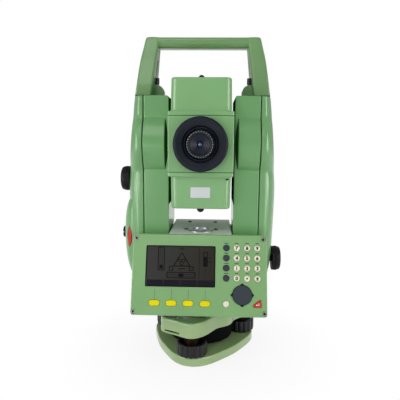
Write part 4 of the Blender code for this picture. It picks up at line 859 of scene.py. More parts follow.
def make_tribrach_round_parts():
    """Housing, centring flange with its studs, and the clamp."""
    outline = [min(HOUSING_R, screw_room(turn)) for turn in PLAN_TURNS]
    skirt = [(0.0, 32.7), (0.0, 16.2), (0.3, 15.1), (1.4, 14.3), (4.0, 14.0)]
    rings = plan_rings([(12.0, 32.7)]) + plan_rings(skirt, outline)
    bm = loft(rings + plan_rings([(24.0, 14.0), (23.0, 15.2), (12.0, 15.2)]), loop=True)
    piece("centre_housing", bm, "matt_black_casting", "tribrach", "black_plastic", "tribrach_centre_housing")
    flange = [
        (0.0, 136.5), (9.0, 136.5), (10.0, 135.5), (10.0, 111.5), (13.0, 111.5), (13.0, 92.5), (28.4, 92.5),
        (28.4, 57.7), (36.6, 57.7), (38.0, 56.2), (38.0, 52.6), (37.4, 52.2), (37.4, 51.4), (38.0, 51.0),
        (38.0, 46.3), (0.0, 46.3),
    ]
    stud = eased([(0.0, 48.0), (5.7, 48.0), (5.7, 38.5), (0.0, 38.5)], 0.8, 4, closed=False)
    bm = lathe(eased(flange, 0.4, 3, closed=False), ORIGIN, UP)
    for i in range(3):
        spot = polar(29.0, TRIBRACH_TURN + math.pi / 3.0 + FULL_TURN * i / 3.0)
        lathe(stud, (*spot, 0.0), UP, 32, bm)
    piece("centring_flange_turned", bm, "turned_steel", "tribrach", "axis_steel", "centring_flange")

    blade = [(0.0, -17.0), (6.5, -12.5), (14.0, -1.0), (14.6, 2.5), (12.6, 5.4), (6.0, 7.6), (0.0, 8.2)]
    outline = eased(blade + [(-y, z) for y, z in blade[-2:0:-1]], 2.4, 5)
    bm = soften(prism([(y, z + LOCK_AXIS_Z) for y, z in outline], "X", 47.2, 53.5), 1.0, 3, 50.0)
    axis = UP * LOCK_AXIS_Z
    cap = [(0.0, 54.3), (4.6, 54.3), (5.2, 53.0), (0.0, 53.0)]
    lathe(eased(cap, 0.3, 3, closed=False), axis, RIGHT, 40, bm)
    rod(4.0, 48.0, 37.0, axis, RIGHT, 32, bm)
    lock = "tribrach_lock_knob"
    face = Matrix.Rotation(LOCK_TURN, 4, "Z")
    piece("clamp_knob", moved(bm, face), "grained_black_nylon", lock, "black_plastic", lock)
    bm = prism(eased([(-2.2, 29.8), (2.2, 29.8), (0.0, 25.6)], 0.3, 3), "X", 53.4, 53.7)
    piece("clamp_pointer", moved(bm, face), "white_print_ink", lock, "black_plastic")


def make_round_level(name, centre, radius, node, body, slot, skin):
    """Round spirit level: metal ring, spirit, bubble, setting circle and a glass lid."""
    base = (*centre, 0.0)
    low, top = [corner.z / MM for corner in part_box(node)]
    vial = 0.66 * radius
    ring = [(radius, top - 0.6), (radius, low), (vial, low), (vial, top), (radius - 1.0, top)]
    turned(name + "_ring", ring, base, UP, skin, body, slot, node, ease=0.4)
    spirit = [(0.0, top - 1.7), (vial - 0.1, top - 1.7), (vial - 0.1, top - 3.6), (0.0, top - 3.6)]
    turned(name + "_spirit", spirit, base, UP, "level_spirit", body, slot, steps=64, ease=0.1)
    outer = 0.4 * vial
    inner = 0.34 * vial
    mark = [(outer, top - 1.6), (outer, top - 1.75), (inner, top - 1.75), (inner, top - 1.6)]
    turned(name + "_mark", mark, base, UP, "dark_print_ink", body, slot, steps=48, ease=0.02)
    bubble = [(0.0, top - 1.5), (0.2 * vial, top - 1.55), (0.28 * vial, top - 1.75), (0.0, top - 1.75)]
    turned(name + "_bubble", bubble, base, UP, "white_print_ink", body, slot, steps=40, ease=0.1)
    edge = vial - 0.05
    lid = [(0.0, top - 0.35), (0.6 * vial, top - 0.5), (edge, top - 0.9), (edge, top - 1.35)]
    lid.append((0.0, top - 1.3))
    turned(name + "_lid", lid, base, UP, "level_glass", body, "optical_glass", steps=64, ease=0.1)


def make_foot_screw(label, place, sizes):
    """Fluted knob with a dished top, on a threaded sleeve and its spindle."""
    node = "foot_screw_" + label
    steps = sizes.foot_flutes * 10
    rings = []
    # Height, inset and depth of the flutes up the side
    side = (
        (11.4, 1.6, 0.3), (11.7, 0.7, 0.7), (12.6, 0.0, 1.0), (23.6, 0.0, 1.0), (24.7, 0.35, 0.8),
        (25.3, 1.3, 0.4),
    )
    for z, inset, share in side:
        ring = []
        for i in range(steps):
            turn = FULL_TURN * i / steps
            flute = abs(math.cos(0.5 * sizes.foot_flutes * turn)) ** 0.7
            x, y = polar(KNOB_R - inset - FLUTE_DEPTH * share * (1.0 - flute), turn)
            ring.append((place[0] + x, place[1] + y, z))
        rings.append(ring)
    for radius, z in ((13.6, 25.3), (13.0, 24.9), (12.5, 23.9), (12.2, 21.0), (11.4, 20.3), (4.0, 20.3)):
        rings.append([(x, y, z) for x, y in circle(radius, steps, place)])
    piece(node + "_knob", loft(rings), "fluted_black_nylon", node, "black_plastic", node)
    sleeve = [
        (0.0, 41.5), (4.6, 41.5), (4.6, 32.8), (THREAD_R, 32.7), (THREAD_R, 20.1), (4.6, 19.7), (4.6, 10.1),
        (0.0, 10.1),
    ]
    spot = (*place, 0.0)
    turned(node + "_sleeve", sleeve, spot, UP, "oiled_brass", node, "black_plastic", steps=64, ease=0.3)
    tall = THREAD_TALL * MM
    made = grow(
        node + "_thread", bpy.data.node_groups.get("screw_thread") or thread_tree(),
        Turns=tall / sizes.thread_pitch, Radius=THREAD_R * MM, Height=tall, Crest=0.4 * sizes.thread_pitch,
        Skin=finish("oiled_brass"),
    )
    made.data.transform(Matrix.Translation(Vector((*place, 20.7)) * MM))
    hang(made, node, "black_plastic", crease=70.0)


# Standards, covers and deck
def make_frame(edge):
    """Casting with the base block and the two standards, bulged round the tilting axis."""
    right = [(62.7, 58.0), (62.7, 291.2), (37.1, 291.2), (35.3, 289.4), (35.3, 174.0), (35.3, 140.0)]
    bm = prism(right + [(-x, z) for x, z in right[::-1]], "Y", -STANDARD_HALF_Y, STANDARD_HALF_Y)
    made = solid("standards", soften(bm, edge, 4, 30.0), "satin_green_paint")
    axis = UP * AXIS_Z
    bm = bmesh.new()
    for rim in (BULGE_RIM, [(radius, -x) for radius, x in BULGE_RIM[::-1]]):
        lathe(eased(rim, 0.7 * edge, 4, closed=False), axis, RIGHT, 144, bm)
    carve(made, bm, "UNION")
    well = [
        (0.0, 53.0), (29.0, 53.0), (29.0, 98.2), (13.3, 98.2), (13.3, 112.0), (10.3, 112.0), (10.3, 136.8),
        (0.0, 136.8),
    ]
    carve(made, lathe(well, ORIGIN, UP, 64))
    carve(made, rod(9.3, -70.0, 70.0, axis, RIGHT, 48))
    # The faces beside the telescope get a dark dull green, painted shade of the narrow gaps that the
    # telescope shades
    made.data.materials.append(finish("dull_green_paint"))
    for face in made.data.polygons:
        beside = abs(face.center.x) < SHADE_HALF_X * MM and face.center.z > SHADE_FROM_Z * MM
        if beside and abs(face.normal.x) > 0.8:
            face.material_index = 1
    hang(made, "alidade", "instrument_green", "alidade_frame")


def cover_depth(z):
    """Half depth of a cover, which follows the bulge and draws in at its foot."""
    reach = math.sqrt(max(BULGE_R ** 2 - (z - AXIS_Z) ** 2, 0.0))
    return soft_max(STANDARD_HALF_Y, reach, 0.8) - max(0.0, 72.0 - z) * 0.3


def cover_ring(side, z, inset, start, steps=16):
    """Level section of a cover: eased seam edge, narrow flat strip, long elliptic corner."""
    wide = smooth_read(COVER_WIDTHS, z)[0] - inset
    deep = cover_depth(z) - inset
    flat = start + min(COVER_STRIP, 0.25 * (wide - start))
    arc = [(start, deep - 1.1), (start + 0.15, deep - 0.5), (start + 0.5, deep - 0.12), (start + 1.1, deep)]
    arc.append((flat, deep))
    swell = 0.11 * max(deep + inset - STANDARD_HALF_Y, 0.0)
    for i in range(steps + 1):
        turn = math.radians(90.0 * i / steps)
        down = COVER_LEDGE + COVER_CORNER_Y * (1.0 - math.cos(turn))
        x = flat + 0.3 + (wide - flat - 0.3) * math.sin(turn)
        arc.append((x, deep - down - (swell if i > LEDGE_STEP else 0.0)))
        if i == LEDGE_STEP:
            arc.append((x + 0.3, deep - down - swell))
    return [(side * x, -y, z) for x, y in arc] + [(side * x, y, z) for x, y in arc[::-1]]


def make_cover(name, side):
    """Hollow cover of one standard."""
    levels = [(62.0, 0.8), (62.3, 0.25), (63.0, 0.0)]
    levels += [(z, 0.0) for z in steps_between(65.0, 288.6, 2.8)]
    levels += [(290.0, 0.0), (290.7, 0.25), (291.0, 0.8)]
    bm = loft([cover_ring(side, z, inset, COVER_START_X) for z, inset in levels])
    made = solid(name + "_shell", bm, "satin_green_paint")
    carve(made, loft([cover_ring(side, z, 3.0, 61.0, 8) for z in steps_between(70.0, 287.0, 7.0)]))
    return made


def make_covers():
    """Both covers with the openings for the battery and the drives."""
    left = make_cover("left_side_cover", -1.0)
    carve(left, block((-99.0, -28.3, 92.7), (-60.0, 28.3, 177.3)))
    right = make_cover("right_side_cover", 1.0)
    for made, drive, axis in ((left, VERTICAL_DRIVE, LEFT), (right, HORIZONTAL_DRIVE, RIGHT)):
        spot = drive[0]
        carve(made, rod(DRIVE_HOLE_R, 70.0, 95.0, (0.0, spot.y, spot.z), axis))
    hang(left, "alidade", "instrument_green", "left_side_cover")
    hang(right, "alidade", "instrument_green", "right_side_cover")


def make_deck():
    """Grey plate between the standards with its screws and the round level."""
    bm = soften(block((-33.6, -50.0, 140.3), (33.6, 38.5, 145.0)), 0.9, 3)
    piece("deck_plate_finished", bm, "deck_grey_paint", "alidade", "deck_grey", "deck_plate")
    level = ("circular_level", "alidade", "deck_grey", "satin_aluminium")
    make_round_level("deck_level", (0.0, -33.0), 14.0, *level)
    spots = [(-15.0, 18.5, 145.4), (16.0, 18.5, 145.4), (-16.6, -27.0, 145.4), (16.6, -27.0, 145.4)]
    screw_heads("deck_screws", spots, (0.0, 0.0, 0.0), 2.3, "alidade")


# Keyboard
def on_panel(x, down, out):
    """A point of the keyboard from its place on the face and its height above it."""
    return PANEL_TOP + Vector((x, 0.0, 0.0)) - PANEL_UP * down + PANEL_OUT * out


def panel_loft(levels, place=(0.0, 0.0), bm=None):
    """Stack outlines on the keyboard face: each level is an outline and its height."""
    rings = []
    for outline, out in levels:
        rings.append([on_panel(place[0] + x, place[1] - y, out) for x, y in outline])
    return loft(rings, bm=bm)


def panel_prism(outline, depths, place=(0.0, 0.0), bm=None):
    """One outline of the keyboard face between two heights."""
    return panel_loft([(outline, out) for out in depths], place, bm)


def printed(bm, outline, place=(0.0, 0.0), face=0.0):
    """Print one outline on the keyboard face, or on a face at another height."""
    panel_prism(outline, [face + out for out in PRINT_DEPTHS], place, bm)


def make_keyboard_case():
    """Wedge behind the face, and the face with its openings, lines and corner screws."""
    sink = -PANEL_THICK - 0.3
    top = on_panel(0.0, 0.0, sink)
    foot = on_panel(0.0, PANEL_HEIGHT, sink)
    outline = [
        (-34.3, 62.5), (-72.5, 62.5), (foot.y, foot.z), (top.y, top.z), (top.y + 1.2, 146.0), (-34.3, 140.6),
    ]
    bm = soften(prism(outline, "X", 0.2 - PANEL_HALF, PANEL_HALF - 0.2), 1.8, 4, 25.0)
    case = solid("keyboard_case", bm, "face_green_paint")
    carve(case, block((-35.3, -50.4, 139.0), (35.3, -20.0, 155.0)))
    carve(case, panel_prism(box_outline(-66.0, 66.0, -77.0, -6.0, 2.0), (-12.0, 2.0)))
    hang(case, "alidade", "instrument_green", "keyboard_housing")

    levels = []
    for inset, out in ((0.6, -PANEL_THICK), (0.0, -2.6), (0.0, -0.7), (0.25, -0.2), (0.8, 0.0)):
        wide = PANEL_HALF - inset
        levels.append((box_outline(-wide, wide, inset - PANEL_HEIGHT, -inset, 4.0 - inset), out))
    face = solid("keyboard_face", panel_loft(levels), "face_green_paint")
    low, high, above, below = DISPLAY
    bm = panel_prism(box_outline(low, high, -below, -above, 1.5), CUT_DEPTHS)
    for _, outline, place, _, _, _ in key_list():
        panel_prism(outline(KEY_GAP), CUT_DEPTHS, place, bm)
    carve(face, bm)
    bm = bmesh.new()
    for spot in FACE_SCREWS:
        panel_prism(circle(2.6, 32), (-1.3, 2.0), spot, bm)
    carve(face, bm)
    hang(face, "alidade", "instrument_green", "keyboard_panel")
    facing = (math.pi / 2.0 - PANEL_TILT, 0.0, 0.0)
    # The small black heads inside the screw heads are painted shade of the socket recesses
    for name, out, radius, skin in (
        ("face_screws", -0.7, 2.35, "zinc_screw"), ("face_screw_sockets", -0.35, 1.25, "soft_black_rubber"),
    ):
        spots = [on_panel(x, down, out) for x, down in FACE_SCREWS]
        screw_heads(name, spots, facing, radius, "alidade", skin)

    bm = bmesh.new()
    for column in FUNCTION_COLUMNS:
        printed(bm, box_outline(-0.16, 0.16, -9.6, 0.0, 0.1, 2), (column + 0.2, 56.0))
    piece("soft_key_lines", bm, "green_engraving", "alidade", "instrument_green")


def stroke(bm, x0, y0, x1, y1, width=STROKE):
    """A straight stroke of the picture between two places on the face."""
    start = Vector((x0, -y0))
    end = Vector((x1, -y1))
    side = (end - start).normalized().orthogonal() * (width / 2.0)
    printed(bm, [start + side, end + side, end - side, start - side], face=-DISPLAY_SINK)


def make_display():
    """Display glass with a plain levelling picture, a dark border painted as shade of the sunk window, and
    four soft-key fields.
    """
    low, high, above, below = DISPLAY
    outline = box_outline(low + KEY_GAP, high - KEY_GAP, KEY_GAP - below, -above - KEY_GAP, 1.4)
    bm = panel_prism(outline, (-11.7, -DISPLAY_SINK))
    piece("display_window", bm, "liquid_crystal_face", "alidade", "display_screen", "display_module")
    bm = bmesh.new()
    wide = (high - low - 3.0) / SOFT_FIELDS
    for i in range(SOFT_FIELDS):
        start = low + 1.5 + i * wide
        field = box_outline(start + 0.3, start + wide - 0.3, -52.5, -46.6, 0.2, 2)
        printed(bm, field, face=-DISPLAY_SINK)
    piece("soft_key_fields", bm, "soft_key_bar", "alidade", "display_screen")
    bm = bmesh.new()
    # The first frame is the dark border: painted shade along the edge of the sunk window
    for x0, y0, x1, y1 in PICTURE_FRAMES:
        for ends in ((x0, y0, x1, y0), (x1, y0, x1, y1), (x1, y1, x0, y1), (x0, y1, x0, y0)):
            stroke(bm, *ends)
    for row in PICTURE_STROKES:
        stroke(bm, *row)
    piece("levelling_picture", bm, "display_ink", "alidade", "display_screen")


def round_key(grow_by):
    """Outline of a round key."""
    return circle(bpy.context.scene.station_sizes.key_radius / MM + grow_by, 48)


def soft_key(grow_by):
    """Outline of a key under the display."""
    return pill(10.8, 5.9, grow_by)


def enter_key(grow_by):
    """Outline of the three-cornered enter key."""
    share = 1.0 + grow_by / 3.2
    corners = ((4.2, -3.4), (3.5, 3.9), (1.5, 3.6), (-4.2, -0.9), (-4.0, -3.1))
    return eased([(share * x, share * y) for x, y in corners], 1.9, 5)


def four_way_key(grow_by):
    """Outline of the round pad with four small points."""
    reach = math.radians(13.0)
    points = []
    for quarter in range(4):
        middle = quarter * math.pi / 2.0
        points.append(polar(11.8 + grow_by, middle))
        for i in range(19):
            points.append(polar(10.0 + grow_by, middle + reach + (math.pi / 2.0 - 2.0 * reach) * i / 18.0))
    return points


def key_list():
    """Every key: node, outline, place, finish, slot and print."""
    cream = ("cream_silicone", "cream_rubber")
    keys = []
    for i, label in enumerate(DIGITS):
        place = (DIGIT_COLUMNS[i % 3], KEY_ROWS[i // 3])
        keys.append(("key_" + label, round_key, place, *cream, PRINTS.get(label, label)))
    for i, row in enumerate(KEY_ROWS):
        place = (FIXED_COLUMN, row)
        keys.append(("key_fixed_" + str(i + 1), round_key, place, "slate_silicone", "slate_rubber", ""))
    for i, column in enumerate(FUNCTION_COLUMNS):
        place = (column, FUNCTION_ROW)
        keys.append(("key_function_" + str(i + 1), soft_key, place, "yellow_silicone", "yellow_rubber", ""))
    keys.append(("key_escape", round_key, ESCAPE_PLACE, *cream, ""))
    keys.append(("key_enter", enter_key, ENTER_PLACE, "red_abs", "red_plastic", ""))
    keys.append(("key_navigation", four_way_key, PAD_PLACE, "dark_print_ink", "slate_rubber", ""))
    return keys


def print_outline(text, tall):
    """Triangles of a printed character about the origin, as corner lists in millimetres."""
    font = bpy.data.curves.new("print", "FONT")
    font.body = text
    font.size = 1.35 * tall
    font.resolution_u = 4
    font.offset = 0.06 * tall
    holder = bpy.data.objects.new("print", font)
    bpy.context.scene.collection.objects.link(holder)
    bpy.context.view_layer.update()
    graph = bpy.context.evaluated_depsgraph_get()
    mesh = bpy.data.meshes.new_from_object(holder.evaluated_get(graph))
    spots = [vert.co for vert in mesh.vertices]
    middle = Vector((
        (min(p.x for p in spots) + max(p.x for p in spots)) / 2.0,
        (min(p.y for p in spots) + max(p.y for p in spots)) / 2.0,
    ))
    faces = [[mesh.vertices[i].co.xy - middle for i in face.vertices] for face in mesh.polygons]
    bpy.data.objects.remove(holder)
    bpy.data.meshes.remove(mesh)
    return faces


def make_key(node, outline, place, skin, slot, text, sizes):
    """A key with an eased top, and its digit in dark print."""
    rise = sizes.key_rise / MM
    levels = (
        (0.0, -6.0), (0.0, rise - 0.75), (-0.1, rise - 0.4), (-0.3, rise - 0.15), (-0.6, rise - 0.03),
        (-0.95, rise),
    )
    bm = panel_loft([(outline(change), out) for change, out in levels], place)
    bmesh.ops.remove_doubles(bm, verts=bm.verts, dist=WELD)
    piece(node + "_cap", bm, skin, node, slot, node)
    if not text:
        return
    bm = bmesh.new()
    tall = sizes.digit / MM * (1.7 if text == "." else 1.0)
    for face in print_outline(text, tall):
        bm.faces.new([bm.verts.new(on_panel(place[0] + p.x, place[1] - p.y, rise + 0.02)) for p in face])
    bmesh.ops.remove_doubles(bm, verts=bm.verts, dist=WELD)
    grown = bmesh.ops.extrude_face_region(bm, geom=bm.faces[:])
    sunk = [item for item in grown["geom"] if isinstance(item, bmesh.types.BMVert)]
    bmesh.ops.translate(bm, verts=sunk, vec=PANEL_OUT * -0.1)
    piece(node + "_print", bm, "dark_print_ink", node, slot)


def make_key_details(rise):
    """Disc of the four-way pad, plain bars where the legends are, and the white enter arrow."""
    levels = ((9.7, 0.0), (9.7, 1.2 * rise), (9.5, 1.4 * rise), (9.0, 1.5 * rise))
    bm = panel_loft([(circle(radius, 64), out) for radius, out in levels], PAD_PLACE)
    piece("key_navigation_disc", bm, "slate_silicone", "key_navigation", "slate_rubber")
    bm = bmesh.new()
    for row in KEY_ROWS:
        for column, wide in zip((FIXED_COLUMN, *DIGIT_COLUMNS), (2.3, 2.0, 2.0, 1.8)):
            printed(bm, box_outline(-wide, wide, -0.42, 0.42, 0.2, 2), (column, row - LEGEND_UP))
    piece("key_legends", bm, "green_engraving", "alidade", "instrument_green")
    arrow = [
        (-1.6, -0.8), (-0.5, 0.2), (-0.5, -0.45), (1.2, -0.45), (1.2, 0.8), (1.8, 0.8), (1.8, -1.15),
        (-0.5, -1.15), (-0.5, -1.8),
    ]
    bm = panel_prism(arrow, (rise - 0.05, rise + 0.03), ARROW_PLACE)
    piece("key_enter_arrow", bm, "white_print_ink", "key_enter", "red_plastic")


# Carrying handle
def make_handle():
    """Handle with flat legs, a round grip and a screw boss at each foot."""
    made = solid("handle", prism(eased(HANDLE_GRIP, 2.6, 6), "X", -53.0, 53.0), "handle_green_paint")
    levels = steps_between(292.3, 352.0, 2.6) + [row[0] for row in HANDLE_LEG[-3:]]
    groove = [(0.0, 305.9), (3.4, 305.9), (3.4, 331.0), (2.4, 332.6), (0.0, 333.0)]
    for side in (1.0, -1.0):
        rings = []
        for z in levels:
            inner, outer, deep = smooth_read(HANDLE_LEG, z)
            rings.append([(side * x, y, z) for x, y in box_outline(inner, outer, -deep, deep, 2.4)])
        carve(made, loft(rings), "UNION")
        boss = prism(eased([(side * x, z) for x, z in HANDLE_BOSS], 3.0, 6), "Y", -7.0, 7.0)
        carve(made, soften(boss, 0.8, 3, 50.0), "UNION")
        carve(made, lathe(groove, RIGHT * side * HANDLE_SCREW_X, UP, 40))
    hang(made, "alidade", "instrument_green", "carrying_handle")
    inner, outer, deep = HANDLE_LEG[0][1:]
    bm = bmesh.new()
    for low, high in ((inner, outer), (-outer, -inner)):
        block((low + 0.4, 0.4 - deep, 290.6), (high - 0.4, deep - 0.4, 292.6), bm)
    piece("handle_gaskets", bm, "matt_black_casting", "alidade", "black_plastic")
    screw = [
        (0.0, 312.2), (1.3, 312.2), (1.3, 313.4), (2.2, 313.4), (2.55, 313.0), (2.55, 306.2), (1.8, 306.2),
        (1.8, 282.0), (0.0, 282.0),
    ]
    skin = "black_oxide_screw"
    for label, side in (("left", -1.0), ("right", 1.0)):
        node = "handle_screw_" + label
        base = RIGHT * side * HANDLE_SCREW_X
        turned(node + "_turned", screw, base, UP, skin, node, "black_plastic", node, steps=48, ease=0.2)
        bead_ring(node + "_knurl", 22, 2.5, (0.14, 0.2, 2.6), base + UP * 310.0, UP, skin, node)


# Battery
def door_ring(z, inset, rim):
    """Level section of the domed door."""
    wide = smooth_read(DOOR_WIDTHS, z)[0] - inset
    deep = DOOR_HALF_Y - inset
    points = []
    for i in range(41):
        y = -deep * math.cos(math.pi * i / 40.0)
        bow = (1.0 - (abs(y) / deep) ** DOOR_POWER) ** (1.0 / DOOR_POWER)
        points.append((-rim - 1.4 - (wide - rim - 1.4) * bow, y, z))
    return points + [(-rim, deep, z), (-rim, -deep, z)]


def latch_form(grow_by, low, high):
    """The leaf of the latch, square to the front edge of the door and about the origin."""
    outline = leaf(LATCH_LENGTH + 2.0 * grow_by, LATCH_WIDTH + 2.0 * grow_by)
    return prism([(v, u) for u, v in outline], "X", low, high)


def make_battery_door():
    """Domed door with its red latch, its turning lock and the battery behind it."""
    levels = [(93.0, 0.9), (93.3, 0.3), (94.0, 0.0)] + [(z, 0.0) for z in steps_between(96.0, 174.0, 2.6)]
    levels += [(176.0, 0.0), (176.7, 0.3), (177.0, 0.9)]
    bm = loft([door_ring(z, inset, DOOR_RIM_X) for z, inset in levels])
    door = solid("battery_door_shell", bm, "satin_green_paint")
    carve(door, loft([door_ring(z, 2.5, DOOR_RIM_X - 2.0) for z in steps_between(95.5, 174.5, 6.0)]))
    seat = Matrix.Translation(LATCH_CENTRE) @ Matrix.Rotation(math.pi + LATCH_TURN, 4, "Z")
    carve(door, moved(latch_form(KEY_GAP, -4.0, 5.0), seat))
    carve(door, rod(2.8, 84.0, 95.0, UP * DOOR_KNOB_Z, LEFT))
    hang(door, "battery_door", "instrument_green", "battery_door")
    bm = soften(latch_form(0.0, -2.6, 1.9), 0.7, 3, 45.0)
    for i in range(5):
        z = -5.0 + 2.5 * i
        block((1.6, -1.7, z - 0.4), (2.2, 1.7, z + 0.4), bm)
    piece("latch_button", moved(bm, seat), "red_abs", "battery_latch", "red_plastic", "battery_latch")

    knob = [(0.0, 3.3), (5.8, 3.3), (6.6, 2.4), (6.6, 0.2), (2.4, 0.2), (2.4, -4.4), (0.0, -4.4)]
    bm = lathe(eased(knob, 0.5, 4, closed=False), (-89.0, 0.0, DOOR_KNOB_Z), LEFT, 64)
    lock = solid("door_lock_knob", bm, "grained_black_nylon")
    carve(lock, block((-95.0, -8.0, DOOR_KNOB_Z - 0.9), (-90.8, 8.0, DOOR_KNOB_Z + 0.9)))
    hang(lock, "battery_lock_knob", "black_plastic", "battery_lock_knob")

    bm = soften(block((-79.0, -18.0, 103.0), (-63.4, 18.0, 167.0)), 1.5, 4)
    for i in range(4):
        z = 118.0 + 11.0 * i
        block((-79.5, -12.0, z), (-78.8, 12.0, z + 3.0), bm)
    piece("battery_pack", bm, "battery_abs", "alidade", "battery_case", "battery")


# Telescope
def make_scope_cover(name, flip, radius, far):
    """Upper or lower cover, with its sight in black."""
    rings = []
    for level, half, front, back, corner in SCOPE_RINGS:
        outline = box_outline(-half, half, front, back, corner, 8)
        rings.append([(x, y, AXIS_Z + flip * level) for x, y in outline])
    piece(name + "_shell", loft(rings), "scope_green_paint", "telescope", "instrument_green", name)
    neck = radius - 0.4
    sight = [(0.0, 0.0), (neck, 0.0), (radius, 0.5), (radius, 45.5), (neck, 46.0), (0.0, 46.0)]
    base = (0.0, -54.0, AXIS_Z + flip * far)
    nylon = "grained_black_nylon"
    turned(name + "_sight", sight, base, FAR, nylon, "telescope", "black_plastic", steps=64)


def make_telescope(edge):
    """Middle block between the covers, the bare plate and, on the lower cover, a black patch painted as the
    shade inside a small slot.
    """
    bm = soften(block((-33.6, -64.0, 211.5), (33.6, 58.0, 268.5)), 0.8 * edge, 4)
    piece("telescope_block", bm, "scope_green_paint", "telescope", "instrument_green", "telescope_body")
    make_scope_cover("telescope_top_cover", 1.0, 3.2, 66.5)
    make_scope_cover("telescope_bottom_cover", -1.0, 3.8, 67.5)
    # The lower cover's front leans by little more than a degree, and the plate lies on it
    lean = math.atan2(0.7, 29.8)
    rings = []
    for inset, y in ((0.0, 0.4), (0.0, -0.1), (0.2, -0.3)):
        outline = box_outline(inset - 10.2, 10.2 - inset, inset - 5.6, 5.6 - inset, 0.8)
        rings.append([(x, y, z) for x, z in outline])
    place = Matrix.Translation((-0.2, -58.17, 190.2)) @ Matrix.Rotation(-lean, 4, "X")
    piece("bare_plate", moved(loft(rings), place), "silver_label", "telescope", "axis_steel")
    # The black patch is painted shade standing in for the inside of the small slot
    bm = soften(block((25.9, -58.6, 203.2), (29.0, -57.0, 204.8)), 0.25, 2)
    piece("cover_slot", bm, "soft_black_rubber", "telescope", "black_plastic")


def make_optics(sizes):
    """Focusing ring, eyepiece, objective barrel and the lenses."""
    black = "matt_black_anodising"
    glass = "coated_lens_glass"
    rubber = "soft_black_rubber"
    base = (0.0, -64.3, AXIS_Z)
    ring = [
        (26.0, 10.7), (27.6, 9.4), (27.6, 8.6), (27.1, 8.2), (27.1, 1.6), (27.6, 1.2), (27.6, 0.5),
        (27.2, 0.0), (14.6, 0.0), (14.6, 6.6), (15.4, 8.0), (17.2, 8.4), (18.4, 9.8), (24.2, 10.7),
    ]
    node = "focus_ring"
    turned("focus_ring_turned", ring, base, NEAR, black, node, "black_plastic", node, steps=128, ease=0.4)
    spot = (0.0, -69.2, AXIS_Z)
    bead_ring("focus_ring_ribs", sizes.focus_ribs, 27.1, (0.75, 0.55, 3.4), spot, NEAR, rubber, node)
    tube = [
        (0.0, 18.6), (2.6, 18.6), (2.9, 20.6), (4.2, 21.4), (9.6, 24.4), (10.4, 25.4), (11.4, 25.7),
        (12.6, 25.5), (13.2, 24.6), (13.2, 14.2), (14.1, 6.2), (14.1, 0.0), (0.0, 0.0),
    ]
    turned("eyepiece_turned", tube, base, NEAR, black, "eyepiece", "black_plastic", "eyepiece", ease=0.4)
    lens = [(0.0, 20.4), (1.4, 20.1), (2.2, 19.5), (2.4, 18.8), (0.0, 18.8)]
    turned("eyepiece_lens", lens, base, NEAR, glass, "eyepiece", "optical_glass", steps=48, ease=0.2)
    dots = sizes.eyepiece_dots
    spot = (0.0, -83.8, AXIS_Z)
    bead_ring("eyepiece_ribs", dots, 13.15, (0.4, 0.5, 4.2), spot, NEAR, rubber, "eyepiece")
    # White dots round the eyepiece: partly its scale dots, partly painted highlights where the knurl catches
    # light
    spot = (0.0, -89.75, AXIS_Z)
    bead_ring("eyepiece_dots", dots, 12.4, (0.36, 0.36, 0.35), spot, NEAR, "white_print_ink", "eyepiece")

    base = (0.0, 58.3, AXIS_Z)
    barrel = [
        (24.0, 29.2), (25.0, 28.2), (25.0, 24.0), (24.4, 23.5), (24.4, 22.3), (25.0, 21.8), (25.0, 4.6),
        (24.2, 3.8), (24.2, 2.4), (25.0, 1.6), (25.0, 0.0), (17.0, 0.0), (17.0, 19.7), (20.5, 19.7),
        (20.5, 25.2), (21.4, 26.2), (21.8, 29.2),
    ]
    scope = ("telescope", "black_plastic")
    turned("objective_tube", barrel, base, FAR, black, *scope, "objective_barrel", ease=0.3, steps=128)
    lens = [(0.0, 25.2), (6.0, 24.9), (12.0, 24.0), (17.0, 22.8), (20.2, 22.0), (20.2, 20.4), (0.0, 20.0)]
    node = "objective_lens"
    turned("objective_glass", lens, base, FAR, glass, "telescope", "optical_glass", node, ease=0.3)
    stop = [(0.0, 18.6), (17.2, 18.6), (17.2, 17.8), (0.0, 17.8)]
    turned("objective_stop", stop, base, FAR, rubber, *scope, steps=48, ease=0.1)


def make_drive_knob(node, base, radius, tall, axis, ribs):
    """Ribbed knob with a domed end on its shaft."""
    profile = [
        (0.0, tall), (0.55 * radius, tall - 0.15), (0.8 * radius, tall - 0.6), (0.93 * radius, tall - 1.8),
        (radius - 0.6, tall - 4.0), (radius - 0.6, 1.6), (radius - 0.2, 1.2), (radius - 0.2, 0.5),
        (radius - 0.8, 0.0), (4.0, 0.0), (4.0, -24.0), (0.0, -24.0),
    ]
    nylon = "grained_black_nylon"
    turned(node + "_turned", profile, base, axis, nylon, node, "black_plastic", node, ease=1.0)
    middle = base + axis * (0.5 * (tall - 3.0))
    bead = (0.5, 0.75, 0.5 * tall - 2.6)
    bead_ring(node + "_ribs", ribs, radius - 0.55, bead, middle, axis, "soft_black_rubber", node)


def dress_hidden_nodes():
    """Finishes for the pieces inside, which keep the frame's own shape."""
    for node, skin in (
        ("horizontal_circle", "coated_lens_glass"), ("vertical_circle", "coated_lens_glass"),
        ("left_trunnion", "turned_steel"), ("right_trunnion", "turned_steel"),
    ):
        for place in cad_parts[node].material_slots:
            place.material = finish(skin)


